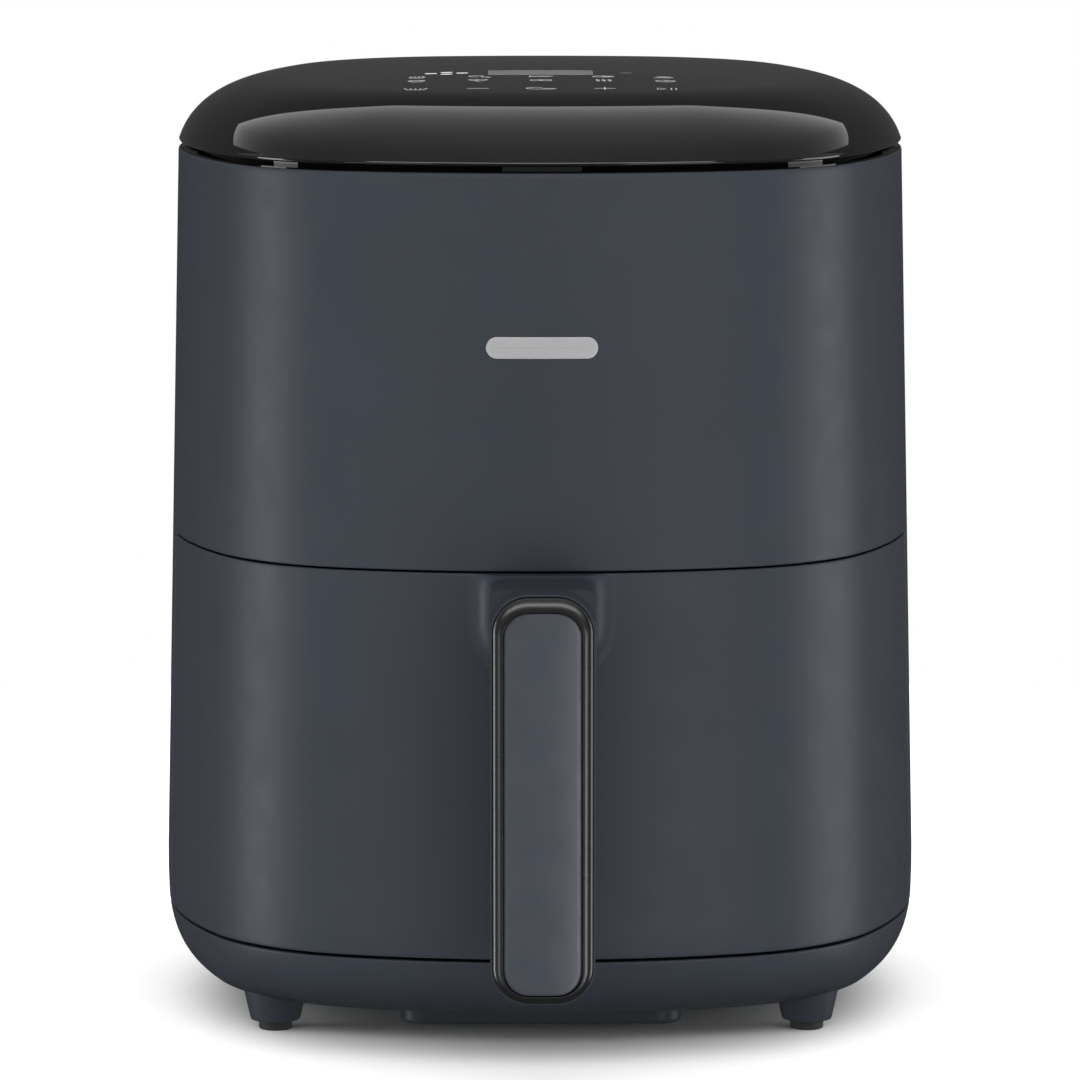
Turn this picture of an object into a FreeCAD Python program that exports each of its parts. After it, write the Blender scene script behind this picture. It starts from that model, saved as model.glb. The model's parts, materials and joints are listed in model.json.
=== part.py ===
import FreeCAD, Part

import math
import os

# A single-drawer digital air fryer, one closed solid per physical piece, in millimetres.
# +Z is up, the drawer faces -Y and the table is Z = 0. Every piece is drawn about the centre of the body;
# write_node() then moves it so that the origin is the centre of the whole object's footprint.

# --- outer body: an outline of eight arcs that widens evenly from the top down to the belly -----------------
BODY_HALF_WIDTH = 133.5
BODY_HALF_DEPTH = 141.0
END_ARC = 216.0            # front and rear of the outline
SIDE_ARC = 212.2
CORNER_ARC = 77.2
BODY_SIZE = (BODY_HALF_WIDTH, BODY_HALF_DEPTH, END_ARC, SIDE_ARC, CORNER_ARC)
BELLY_Z = 55.0             # height of the widest outline
BODY_TOP = 305.0
TAPER = (5.1, 3.9, 3.9, 5.1, 5.1)           # how much smaller each outline size is at BODY_TOP
WALL = 2.6
SEAM_MID = 169.4           # between drawer and upper housing
SEAM_LOW = 35.5            # between body and base
SEAM_GAP = 0.7
DRAWER_WRAP_Y = -30.0      # the drawer front wraps round the sides to here

# --- base bowl ---------------------------------------------------------------------------------------------
BOWL_BOTTOM = 8.56
BOWL_RISE = 39.38
BOWL_TUCK = (38.8, 76.5, 0.0, 21.1, 20.8)   # how much each outline size shrinks at the bottom
BOWL_POWER = 2.84
FOOT_X, FOOT_Y = 93.2, 75.0
FOOT_LOW_RADIUS, FOOT_HIGH_RADIUS, FOOT_TOP = 8.8, 12.4, 20.0
PAD_RADIUS, PAD_HEIGHT = 5.8, 3.2

# --- lid ---------------------------------------------------------------------------------------------------
LID_EDGE = 307.3
LID_SIZE = (129.5, 136.9, 212.0, 208.3, 72.0)
LID_TUCK = (41.3, 36.0, 0.0, 20.6, 15.3)
LID_Z0, LID_RISE, LID_POWER = 297.5, 36.1, 2.45
LID_CROWN, LID_CROWN_POWER = 3.0, 1.87
LID_SHOULDER = 0.36          # share of the crown's radius that the shoulder takes up
LID_WALL = 2.4
COLLAR_SIZE = (121.6, 130.3, 205.4, 200.4, 68.4)
COLLAR_WALL = 3.0
FLANGE_INSET, FLANGE = 1.2, 0.5    # the collar's thin flange, over the housing's ledge
TRAY_Z = 311.0
BOARD_Z = TRAY_Z + 9         # underside of the touch board
WINDOW = (-18.5, 18.5, -40.0, -20.0)

# --- handle ------------------------------------------------------------------------------------------------
GRIP_HALF_WIDTH = 17.6
GRIP_LOW, GRIP_HIGH = 28.9, 168.0
GRIP_FRONT, GRIP_REAR = -185.0, -167.0
GRIP_CORNER = 13.0
HANDLE_FRONT = -188.2
NECK_BOTTOM = 137.0
NECK_FLARE = 9.0
NECK_CORNER = 5.0
SCREW_HEAD_Y = -136.2        # under the handle screws' heads, just behind the drawer front's wall

# --- cooking chamber, pan and plate ------------------------------------------------------------------------
CHAMBER = (-109.0, 109.0, -80.0, 112.0)
CHAMBER_LOW, CHAMBER_HIGH = 40.0, 222.0
CHAMBER_CORNER = 50.0
SHEET = 0.7                # chamber and heat shield steel
PAN_TOP = 158.0
PAN_FLOOR = 46.3
PAN_WALL = 1.2
PLATE_Z = 60.0
RAIL_TOP = 155.7

# --- heater, fan and motor, all on one vertical axis --------------------------------------------------------
AXIS_Y = 12.0
HEATER_Z = 180.0
HEATER_PITCH = 15.0
HEATER_TUBE = 3.25
SHIELD_Z = 233.0
SHAFT_RADIUS = 3.0
RUNNING_FIT = 0.05
REAR_LIMIT = 142.2         # the cord bush's outer flange
ORIGIN_SHIFT = -(HANDLE_FRONT + REAR_LIMIT) / 2


# === drawing helpers ========================================================================================
def vec(x, y, z=0.0):
    return FreeCAD.Vector(x, y, z)


def box(x0, x1, y0, y1, z0, z1):
    return Part.makeBox(x1 - x0, y1 - y0, z1 - z0, vec(x0, y0, z0))


def post(radius, x, y, z0, z1):
    return Part.makeCylinder(radius, z1 - z0, vec(x, y, z0))


def tube(outer, inner, x, y, z0, z1):
    return post(outer, x, y, z0, z1).cut(post(inner, x, y, z0 - 1, z1 + 1))


def rod_y(radius, x, z, y0, y1):
    return Part.makeCylinder(radius, y1 - y0, vec(x, y0, z), vec(0, 1, 0))


def fuse(shapes):
    whole = shapes[0].multiFuse(shapes[1:]) if len(shapes) > 1 else shapes[0]
    return whole.removeSplitter()


def cut(shape, tools):
    return shape.cut(Part.makeCompound(tools))


def corners(x, y, centre_y=0.0):
    return [(i * x, centre_y + j * y) for i in (-1, 1) for j in (-1, 1)]


def rounded_outline(x0, x1, y0, y1, radius, z):
    """A rectangle's wire with round corners, in a level plane."""
    r = radius
    s = r * (1 - math.sqrt(0.5))
    line = Part.LineSegment
    edges = [
        line(vec(x0 + r, y0, z), vec(x1 - r, y0, z)),
        Part.Arc(vec(x1 - r, y0, z), vec(x1 - s, y0 + s, z), vec(x1, y0 + r, z)),
        line(vec(x1, y0 + r, z), vec(x1, y1 - r, z)),
        Part.Arc(vec(x1, y1 - r, z), vec(x1 - s, y1 - s, z), vec(x1 - r, y1, z)),
        line(vec(x1 - r, y1, z), vec(x0 + r, y1, z)),
        Part.Arc(vec(x0 + r, y1, z), vec(x0 + s, y1 - s, z), vec(x0, y1 - r, z)),
        line(vec(x0, y1 - r, z), vec(x0, y0 + r, z)),
        Part.Arc(vec(x0, y0 + r, z), vec(x0 + s, y0 + s, z), vec(x0 + r, y0, z)),
    ]
    return Part.Wire([edge.toShape() for edge in edges])


def slab(x0, x1, y0, y1, radius, z0, z1):
    """A plate or block with rounded vertical corners."""
    face = Part.Face(rounded_outline(x0, x1, y0, y1, radius, z0))
    return face.extrude(vec(0, 0, z1 - z0))


def upright_slab(x0, x1, z0, z1, radius, y0, y1):
    """A block with rounded corners seen from the front."""
    face = Part.Face(rounded_outline(x0, x1, z0, z1, radius, 0))
    face.rotate(vec(0, 0), vec(1, 0), 90)
    face.translate(vec(0, y0))
    return face.extrude(vec(0, y1 - y0))


def outline(size, z):
    """The closed body outline: front, rear and side arcs joined by tangent corner arcs."""
    half_width, half_depth, end_arc, side_arc, corner_arc = size
    end_centre = vec(0, end_arc - half_depth)
    side_centre = vec(half_width - side_arc, 0)
    apart = side_centre - end_centre
    r1, r2, d = end_arc - corner_arc, side_arc - corner_arc, apart.Length
    along = (r1 * r1 - r2 * r2 + d * d) / (2 * d)
    across = math.sqrt(r1 * r1 - along * along)
    unit = apart / d
    corner = end_centre + unit * along + vec(-unit.y, unit.x) * across
    to_end = (corner - end_centre).normalize()
    to_side = (corner - side_centre).normalize()
    end = corner + to_end * corner_arc
    side = corner + to_side * corner_arc
    middle = corner + (to_end + to_side).normalize() * corner_arc

    def at(point, i, j):
        return vec(i * point.x, j * point.y, z)

    front_mid, side_mid = vec(0, -half_depth), vec(half_width, 0)
    arcs = [
        (at(end, -1, 1), at(front_mid, 1, 1), at(end, 1, 1)),
        (at(end, 1, 1), at(middle, 1, 1), at(side, 1, 1)),
        (at(side, 1, 1), at(side_mid, 1, 1), at(side, 1, -1)),
        (at(side, 1, -1), at(middle, 1, -1), at(end, 1, -1)),
        (at(end, 1, -1), at(front_mid, 1, -1), at(end, -1, -1)),
        (at(end, -1, -1), at(middle, -1, -1), at(side, -1, -1)),
        (at(side, -1, -1), at(side_mid, -1, 1), at(side, -1, 1)),
        (at(side, -1, 1), at(middle, -1, 1), at(end, -1, 1)),
    ]
    return Part.Wire([Part.Arc(*points).toShape() for points in arcs])


def shrink(size, inset, tuck=(0, 0, 0, 0, 0), share=0.0):
    return tuple(s - inset - t * share for s, t in zip(size, tuck))


def loft(wires):
    return Part.makeLoft(wires, True, False)


# === body surface ===========================================================================================
def quarter(turn, power):
    """(how far in, how far up) along a superellipse quarter, turn 0 at the side and 1 at the pole."""
    angle = turn * math.pi / 2
    return 1 - math.cos(angle) ** (2 / power), math.sin(angle) ** (2 / power)


def body_outline(z, inset=0.0):
    """The outline at a height: tucked in below the bowl's rim, tapering evenly above the belly."""
    rim = BOWL_BOTTOM + BOWL_RISE
    down = max(0.0, (rim - z) / BOWL_RISE)
    tuck = 1 - (1 - down ** BOWL_POWER) ** (1 / BOWL_POWER)
    above = max(0.0, (z - BELLY_Z) / (BODY_TOP - BELLY_Z))
    return outline(shrink(shrink(BODY_SIZE, inset, TAPER, above), 0, BOWL_TUCK, tuck), z)


def body_solid(inset, low, high):
    """The body's full section between two heights, inset all round."""
    inner = [z for z in (42.0, 48.0, 60.0, 100.0, 140.0, 180.0, 220.0, 260.0, 290.0) if low + 2 < z < high - 2]
    return loft([body_outline(z, inset) for z in [low] + inner + [high]])


def bowl_solid(inset, lift, top):
    """The base bowl from its flat bottom up to a level top."""
    wires = []
    for step in range(13):
        tuck, up = quarter(0.15 + 0.85 * step / 12, BOWL_POWER)
        z = BOWL_BOTTOM + lift + BOWL_RISE * (1 - up)
        wires.append(outline(shrink(BODY_SIZE, inset, BOWL_TUCK, tuck), z))
    return loft(wires).common(box(-200, 200, -200, 200, 0, top))


def lid_solid(inset, drop):
    """The lid's dome: a superellipse shoulder, then a shallow crown."""
    wires = []
    for step in range(13):
        tuck, up = quarter(0.06 + 0.94 * step / 12, LID_POWER)
        crown = LID_CROWN * (1 + LID_SHOULDER * (1 - tuck)) ** LID_CROWN_POWER * up
        wires.append(outline(shrink(LID_SIZE, inset, LID_TUCK, tuck), LID_Z0 + LID_RISE * up - crown - drop))
    for k in (0.9, 0.75, 0.6, 0.45, 0.3, 0.15, 0.05):
        size = [k * s for s in shrink(LID_SIZE, inset, LID_TUCK, 1.0)]
        wires.append(outline(size, LID_Z0 + LID_RISE - LID_CROWN * k ** LID_CROWN_POWER - drop))
    return loft(wires)


def body_wall(low, high):
    return body_solid(0, low, high).cut(body_solid(WALL, low - 2, high + 2))


def drawer_zone():
    """Everything of the body wall that belongs to the drawer front."""
    return box(-200, 200, -200, DRAWER_WRAP_Y, SEAM_LOW - 5, SEAM_MID)


# === housing ================================================================================================
def rear_slots(low, count, pitch, height, half_length):
    return [
        upright_slab(-half_length, half_length, low + i * pitch, low + i * pitch + height, height * 0.49, 118, 150)
        for i in range(count)
    ]


GRILLE = (-38.0, 38.0, 183.0, 219.0)


def outer_housing():
    """The one-piece outer shell: upper walls all round, and the lower walls behind the drawer."""
    low = SEAM_LOW + 0.5
    wall = body_wall(low, BODY_TOP)
    ledge = body_solid(1.0, BODY_TOP - WALL, BODY_TOP).cut(body_solid(12.0, BODY_TOP - 6, BODY_TOP + 2))
    shell = fuse([wall, ledge])
    gap = SEAM_GAP / 2
    opening = box(-200, 200, -200, DRAWER_WRAP_Y + gap, low - 5, SEAM_MID + gap)
    x0, x1, z0, z1 = GRILLE
    grille_hole = upright_slab(x0 - 0.15, x1 + 0.15, z0 - 0.15, z1 + 0.15, 4.15, 118, 150)
    bush_hole = rod_y(8.0, 0, 62.0, 120, 150)
    return cut(shell, [opening, grille_hole, bush_hole] + rear_slots(258.0, 6, 5.5, 2.6, 40))


def rear_grille():
    x0, x1, z0, z1 = GRILLE
    panel = body_wall(z0 - 4, z1 + 4).common(upright_slab(x0, x1, z0, z1, 4.0, 118, 150))
    return cut(panel, rear_slots(188.5, 5, 5.6, 2.8, 32))


def cord_inlet():
    """The bush that the mains lead would pass through, low on the rear wall."""
    barrel = rod_y(7.9, 0, 62.0, 132.0, 141.4)
    flange = rod_y(10.5, 0, 62.0, 141.05, REAR_LIMIT)
    return fuse([barrel, flange]).cut(rod_y(3.7, 0, 62.0, 130, 150))


def base_shell():
    """The bowl with its deck, chamber posts, rear lip and four foot cones, open at the middle below."""
    top = SEAM_LOW - 0.5
    outer = bowl_solid(0, 0, top)
    hollow = bowl_solid(WALL, WALL, top + 5)
    shell = outer.cut(hollow)
    deck = body_solid(1.0, top - WALL, top)
    lip = body_solid(WALL + 0.4, top - 1, top + 4).cut(body_solid(WALL + 2.4, top - 3, top + 6))
    lip = lip.common(box(-200, 200, DRAWER_WRAP_Y + 2, 200, 0, 100))
    cones = [
        Part.makeCone(FOOT_LOW_RADIUS, FOOT_HIGH_RADIUS, FOOT_TOP - PAD_HEIGHT, vec(x, y, PAD_HEIGHT)).cut(hollow)
        for x, y in corners(FOOT_X, FOOT_Y)
    ]
    posts = [post(6.0, x, y, top - 1, CHAMBER_LOW) for x, y in corners(75, 55)]
    service = slab(-40, 40, -60, 60, 8, 0, BOWL_BOTTOM + WALL + 1)
    screw_holes = [post(2.0, x, y, 25, 50) for x, y in corners(75, 55)]
    return cut(fuse([shell, deck, lip] + cones + posts), [service] + screw_holes)


def base_cover():
    """The shallow boss under the middle of the base, with a locating rib inside the service opening."""
    boss = slab(-49, 49, -90, 90, 9, 4.0, 22.0)
    boss = boss.makeFillet(1.5, [e for e in boss.Edges if abs(e.BoundBox.ZMax - 4.0) < 0.01])
    boss = boss.cut(bowl_solid(0, 0, 30))
    rib = slab(-39.7, 39.7, -59.7, 59.7, 7.7, 8.0, 12.5).cut(slab(-37, 37, -57, 57, 5, 7.0, 14.0))
    return fuse([boss, rib])


def foot_pads():
    pads = []
    for x, y in corners(FOOT_X, FOOT_Y):
        pad = post(PAD_RADIUS, x, y, 0, PAD_HEIGHT)
        pads.append(pad.makeFillet(0.8, [e for e in pad.Edges if e.BoundBox.ZMax < 0.01]))
    return Part.makeCompound(pads)


def base_screws():
    return Part.makeCompound([
        fuse([post(4.0, x, y, 30.0, SEAM_LOW - 0.5 - WALL), post(2.0, x, y, 31.0, 43.5)])
        for x, y in corners(75, 55)
    ])


def bay_fascia():
    """The level panel above the drawer front that closes the space in front of the chamber."""
    low = SEAM_MID + SEAM_GAP / 2 + 0.1
    panel = body_solid(WALL + 0.05, low, low + 2.0)
    return panel.common(box(-200, 200, -200, CHAMBER[2] - 0.6, 0, 300))


def badge():
    """A plain raised pill on the housing's front."""
    low, high, half_length = 249.5, 255.5, 17.0
    pill = upright_slab(-half_length, half_length, low, high, (high - low) / 2 - 0.01, -150, -130)
    return pill.common(body_solid(-0.4, low - 5, high + 5).cut(body_solid(0, low - 7, high + 7)))


# === lid and controls =======================================================================================
def lid_shell():
    return lid_solid(0, 0).cut(lid_solid(LID_WALL, LID_WALL)).common(box(-200, 200, -200, 200, LID_EDGE, 400))


def lamp_places():
    """The four petals of the running indicator, left of the display."""
    return [(-38.5, -31.0), (-33.0, -27.0), (-33.0, -35.0), (-27.5, -31.0)]


def top_lid():
    x0, x1, y0, y1 = WINDOW
    holes = [slab(x0, x1, y0, y1, 1.0, 300, 340)]
    holes += [slab(x - 2.2, x + 2.2, y - 1.3, y + 1.3, 1.2, 300, 340) for x, y in lamp_places()]
    return cut(lid_shell(), holes)


def display_window():
    x0, x1, y0, y1 = WINDOW
    return lid_shell().common(slab(x0 + 0.1, x1 - 0.1, y0 + 0.1, y1 - 0.1, 0.9, 320, 340))


def status_lamps():
    shell = lid_shell()
    return Part.makeCompound([
        shell.common(slab(x - 2.1, x + 2.1, y - 1.2, y + 1.2, 1.1, 320, 340)) for x, y in lamp_places()
    ])


def lid_collar():
    """The dark ring between body and lid, with a thin flange over the ledge."""
    outer = loft([outline(COLLAR_SIZE, z) for z in (BODY_TOP, TRAY_Z)])
    flange = Part.Face(body_outline(BODY_TOP, FLANGE_INSET)).extrude(vec(0, 0, FLANGE))
    inner = loft([outline(shrink(COLLAR_SIZE, COLLAR_WALL), z) for z in (BODY_TOP - 1, TRAY_Z + 1)])
    return fuse([outer, flange]).cut(inner)


def collar_tab():
    """The small block that fills the shadow gap at the middle of the front."""
    middle = box(-13.5, 13.5, -150, -120, BODY_TOP + FLANGE, LID_EDGE - 0.1)
    block = body_solid(1.4, BODY_TOP - 4, BODY_TOP + 4).common(middle)
    return block.cut(loft([outline(COLLAR_SIZE, z) for z in (BODY_TOP - 2, TRAY_Z)]))


def board_screw_places():
    return corners(52, 34, -56)


def control_tray():
    """The plate that carries the control board, standing on the collar."""
    plate = loft([outline(shrink(COLLAR_SIZE, 1.4), z) for z in (TRAY_Z, TRAY_Z + 2)])
    posts = [post(3.0, x, y, TRAY_Z + 1, BOARD_Z) for x, y in board_screw_places()]
    slot = box(-86, -62, -34, -26, TRAY_Z - 1, TRAY_Z + 3)
    return cut(fuse([plate] + posts), [slot] + [post(30.0, 40, 60, TRAY_Z - 1, TRAY_Z + 3)])


def touch_board():
    board = slab(-84, 58, -97, -14, 3, BOARD_Z, BOARD_Z + 1.6)
    return cut(board, [post(1.5, x, y, BOARD_Z - 1, BOARD_Z + 3) for x, y in board_screw_places()])


def display_module():
    return box(-17, 17, -39, -21, BOARD_Z + 1.6, BOARD_Z + 8.6)


def touch_springs():
    """The sprung contact discs under the touch symbols."""
    springs = []
    for x in (-43.6, -21.8, 0.0, 21.8, 43.6):
        for y in (-47.0, -62.0, -90.0):
            if (abs(x), y) == (43.6, -47.0):
                continue
            springs.append(Part.makeCone(2.6, 3.6, 4.2, vec(x, y, BOARD_Z + 1.6)))
    return Part.makeCompound(springs)


# === drawer front and handle ================================================================================
def neck():
    """The bridge from the drawer front to the grip, with a concave flare where it leaves the wall."""
    root_y, start_y, end_y = -130.0, -139.5, -178.0
    wires = []
    for step in range(9):
        flare = max(0.0, 1 - step / 7)
        swell = NECK_FLARE * (1 - math.sqrt(1 - flare * flare))
        width, low = GRIP_HALF_WIDTH + swell, NECK_BOTTOM - swell
        wire = rounded_outline(-width, width, low, GRIP_HIGH, NECK_CORNER, 0)
        wire.rotate(vec(0, 0), vec(1, 0), 90)
        wire.translate(vec(0, start_y - NECK_FLARE * (1 - flare) if step < 8 else end_y))
        wires.append(wire)
    width, low = GRIP_HALF_WIDTH + NECK_FLARE, NECK_BOTTOM - NECK_FLARE
    root = upright_slab(-width, width, low, GRIP_HIGH, NECK_CORNER, start_y, root_y)
    return fuse([Part.makeLoft(wires, True, True), root])


def handle_screw_places():
    return [(-8.0, 152.0), (8.0, 152.0)]


def drawer_front():
    """The wrap-round front and the handle's neck, in one moulding."""
    gap = SEAM_GAP / 2
    low, high = SEAM_LOW + 0.5, SEAM_MID - gap
    wall = body_wall(low - 2, high + 2).common(box(-200, 200, -200, DRAWER_WRAP_Y - gap, low, high))
    bridge = neck().cut(body_solid(1.0, low - 2, high + 2)).cut(grip_body())
    holes = [rod_y(2.0, x, z, -175, -130) for x, z in handle_screw_places()]
    return cut(fuse([wall, bridge]), holes)


def grip_block(inset=0.0, front=GRIP_FRONT, rear=GRIP_REAR):
    """The grip's rounded upright block."""
    w = GRIP_HALF_WIDTH - inset
    return upright_slab(-w, w, GRIP_LOW + inset, GRIP_HIGH - inset, GRIP_CORNER - inset, front, rear)


def grip_body():
    """The grip's block, rounded on the finger side."""
    block = grip_block()
    return block.makeFillet(5.0, [e for e in block.Edges if e.BoundBox.YMin > GRIP_REAR - 0.01])


def handle_shell():
    """The body-coloured tray behind the grip's trim."""
    pocket = grip_block(0.8, GRIP_FRONT - 1, GRIP_FRONT + 6)
    well = upright_slab(-12.0, 12.0, 34.0, 160.0, 8.0, GRIP_FRONT - 1, GRIP_FRONT + 12)
    holes = [rod_y(2.0, x, z, GRIP_FRONT + 8, GRIP_REAR + 1) for x, z in handle_screw_places()]
    return cut(grip_body(), [pocket, well] + holes)


def handle_frame():
    """The glossy trim ring, with a rounded face."""
    inset = 0.95
    ring = grip_block(inset, HANDLE_FRONT, GRIP_FRONT + 6)
    face = upright_slab(-12.95, 12.95, 32.3, 162.2, 8.6, HANDLE_FRONT - 1, GRIP_FRONT + 7)
    ring = ring.cut(face)
    front_edges = [e for e in ring.Edges if e.BoundBox.YMax < HANDLE_FRONT + 0.01]
    return ring.makeFillet(1.1, front_edges)


def handle_inlay():
    plate = upright_slab(-12.8, 12.8, 32.45, 162.05, 8.45, HANDLE_FRONT + 1.2, GRIP_FRONT + 6)
    return plate.makeFillet(0.5, [e for e in plate.Edges if e.BoundBox.YMax < HANDLE_FRONT + 1.3])


def handle_screws():
    screws = []
    for x, z in handle_screw_places():
        head = rod_y(3.8, x, z, SCREW_HEAD_Y, SCREW_HEAD_Y + 2.6)
        shank = rod_y(2.0, x, z, -174.5, SCREW_HEAD_Y + 1.2)
        screws.append(fuse([head, shank]))
    return Part.makeCompound(screws)


def drawer_frame():
    """The inner moulding of the drawer: a rear panel, top and bottom decks and a lip round the pan's mouth."""
    rear, deck = CHAMBER[2] - 1.5, 2.2
    low, high = SEAM_LOW + 0.9, SEAM_MID - SEAM_GAP / 2 - 0.4
    space = body_solid(WALL + 0.05, low - 2, high + 2)
    panel = space.common(box(-200, 200, rear - 2.5, rear, low, high))
    decks = [space.common(box(-200, 200, -200, rear, z, z + deck)) for z in (low, high - deck)]
    lip = slab(-105.6, 105.6, -108.6, 120, 48.6, PAN_TOP + 0.3, high).common(box(-200, 200, -200, rear, 0, 200))
    mouth = slab(-104, 104, -107, 120, 47, PAN_TOP - 2.2, high + 5)
    return cut(fuse([panel, lip] + decks), [mouth, pan_outer(0.1)])


# === pan and plate ==========================================================================================
def pan_outer(grow=0.0):
    g = grow
    return loft([
        rounded_outline(-92 - g, 92 + g, -96 - g, 97 + g, 38 + g, PAN_FLOOR - g),
        rounded_outline(-99 - g, 99 + g, -104 - g, 104 + g, 44 + g, PAN_TOP),
    ])


def drawer_pan():
    """The deep non-stick pan with a rolled-out rim."""
    inner = loft([
        rounded_outline(-92 + PAN_WALL, 92 - PAN_WALL, -96 + PAN_WALL, 97 - PAN_WALL, 36.5, PAN_FLOOR + PAN_WALL),
        rounded_outline(-99 + PAN_WALL, 99 - PAN_WALL, -104 + PAN_WALL, 104 - PAN_WALL, 42.5, PAN_TOP + 0.1),
    ])
    floor_edges = [e for e in inner.Edges if e.BoundBox.ZMax < PAN_FLOOR + PAN_WALL + 0.01]
    inner = inner.makeFillet(8.0, floor_edges)
    rim = slab(-103, 103, -106, 107, 47, PAN_TOP - 2, PAN_TOP)
    body = fuse([pan_outer(), rim])
    return cut(body, [inner] + [rod_y(2.0, x, 135.0, -115, -95) for x in (-12, 12)])


def pan_bracket():
    """The block that ties the pan's front wall to the drawer front."""
    block = box(-22, 22, -137.0, -98, 118, 148)
    block = block.common(body_solid(WALL + 0.05, 110, 156)).cut(pan_outer(0.0))
    return cut(block, [rod_y(2.0, x, 135.0, -122, -95) for x in (-12, 12)] + [box(-16, 16, -134, -108, 110, 128)])


def pan_screws():
    return Part.makeCompound([
        fuse([rod_y(3.8, x, 135.0, -100.6, -98.6), rod_y(2.0, x, 135.0, -120, -99)]) for x in (-12, 12)
    ])


def plate_feet_places():
    return corners(71, 73, 0.5)


def crisper_plate():
    """The perforated plate that lifts out of the pan."""
    plate = slab(-88, 88, -92, 93, 34, PLATE_Z, PLATE_Z + 2.0)
    slots = []
    for row in range(-6, 7):
        for column in range(-4, 5):
            x, y = column * 17.0 + (8.5 if row % 2 else 0.0), row * 12.5
            if abs(x) < 70 and (abs(x) < 60 or abs(y) < 60):
                slots.append(slab(x - 5.5, x + 5.5, y - 1.8, y + 1.8, 1.79, PLATE_Z - 1, PLATE_Z + 3))
    feet = [post(3.0, x, y, PLATE_Z - 1, PLATE_Z + 3) for x, y in plate_feet_places()]
    return cut(plate, slots + feet)


def plate_bumpers():
    """Silicone feet that grip the plate's corners and stand on the pan's floor."""
    return Part.makeCompound([
        fuse([
            post(5.5, x, y, PAN_FLOOR + PAN_WALL + 0.1, PLATE_Z),
            post(3.0, x, y, PLATE_Z - 1, PLATE_Z + 3),
            post(5.0, x, y, PLATE_Z + 2.0, PLATE_Z + 4.5),
        ])
        for x, y in plate_feet_places()
    ])


# === cooking chamber ========================================================================================
def chamber_sheet(low, high, inset):
    x0, x1, y0, y1 = CHAMBER
    i = inset
    return fuse([
        slab(x0 + i, x1 - i, y0 + i, y1 - i, CHAMBER_CORNER - i, low, high),
        box(x0 + i, x1 - i, y0 + i, y0 + 70, low, high),
    ])


def inner_chamber():
    """The sheet-steel chamber, open at the front where the pan slides in."""
    shell = chamber_sheet(CHAMBER_LOW, CHAMBER_HIGH, 0).cut(
        chamber_sheet(CHAMBER_LOW + SHEET, CHAMBER_HIGH - SHEET, SHEET))
    mouth = box(-108, 108, CHAMBER[2] - 5, CHAMBER[2] + 5, CHAMBER_LOW + SHEET, 167)
    duct_hole = box(-33, 33, 100, 120, 188, 214)
    holes = [post(2.0, x, y, 35, 45) for x, y in corners(75, 55)]
    holes += [post(HEATER_TUBE + 0.4, x, y, 215, 230) for x, y in terminal_places()]
    holes += [post(6.0, 0, AXIS_Y, 215, 230), post(2.6, 88, 50, 215, 230), rod_y(2.2, 50, 157.0, 100, 120)]
    return cut(shell, [mouth, duct_hole] + holes)


def drawer_guides():
    rail = slab(100.6, 108.0, -78, 58, 1.5, 151.0, RAIL_TOP)
    return Part.makeCompound([rail, rail.mirror(vec(0, 0, 0), vec(1, 0, 0))])


def exhaust_duct():
    """The square duct from the chamber to the rear grille."""
    duct = box(-35, 35, CHAMBER[3], 150, 186, 216).cut(box(-33.5, 33.5, 100, 160, 187.5, 214.5))
    return duct.common(body_solid(WALL + 0.05, 180, 222))


def heat_shield():
    """The inverted tray that keeps the chamber's heat from the motor and boards."""
    x0, x1, y0, y1, radius = -104, 104, -75, 107, 45
    i = SHEET
    outer = slab(x0, x1, y0, y1, radius, CHAMBER_HIGH, SHIELD_Z)
    inner = slab(x0 + i, x1 - i, y0 + i, y1 - i, radius - i, CHAMBER_HIGH - 1, SHIELD_Z - i)
    holes = [post(HEATER_TUBE + 1.5, x, y, 225, 240) for x, y in terminal_places()]
    holes += [post(8.0, 0, AXIS_Y, 225, 240), post(4.5, 88, 50, 225, 240)]
    return cut(outer, [inner] + holes)


# === heater =================================================================================================
def terminal_places():
    reach, bend = 5 * HEATER_PITCH, 12.0
    return [(reach, AXIS_Y + bend), (-reach, AXIS_Y - bend)]


def half_turn(x0, x1, side):
    """The semicircle between two crossings of the heater's X axis, on the +Y or -Y side."""
    radius = abs(x1 - x0) / 2
    middle = vec((x0 + x1) / 2, AXIS_Y + side * radius, HEATER_Z)
    return Part.Arc(vec(x0, AXIS_Y, HEATER_Z), middle, vec(x1, AXIS_Y, HEATER_Z)).toShape()


def heating_element():
    """One tubular element wound as a double spiral, whose two ends rise through the chamber's roof."""
    bend, top = 12.0, 246.0
    crossings = [0.0] + [HEATER_PITCH * k * (-1) ** (k + 1) for k in range(1, 6)]
    arm = [half_turn(crossings[k], crossings[k + 1], -1 if k % 2 == 0 else 1) for k in range(5)]
    reach = crossings[-1]
    rise = vec(reach, AXIS_Y + bend, HEATER_Z + bend)
    knee = vec(reach, AXIS_Y + bend * math.sin(math.pi / 4), HEATER_Z + bend * (1 - math.cos(math.pi / 4)))
    arm.append(Part.Arc(vec(reach, AXIS_Y, HEATER_Z), knee, rise).toShape())
    arm.append(Part.LineSegment(rise, vec(reach, AXIS_Y + bend, top)).toShape())
    other = [edge.rotated(vec(0, AXIS_Y, 0), vec(0, 0, 1), 180) for edge in arm]
    path = Part.Wire(Part.__sortEdges__(arm + other))
    start = path.OrderedVertexes[0].Point
    ring = Part.Wire([Part.Circle(start, vec(0, 0, 1), HEATER_TUBE).toShape()])
    return path.makePipeShell([ring], True, False)


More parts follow.
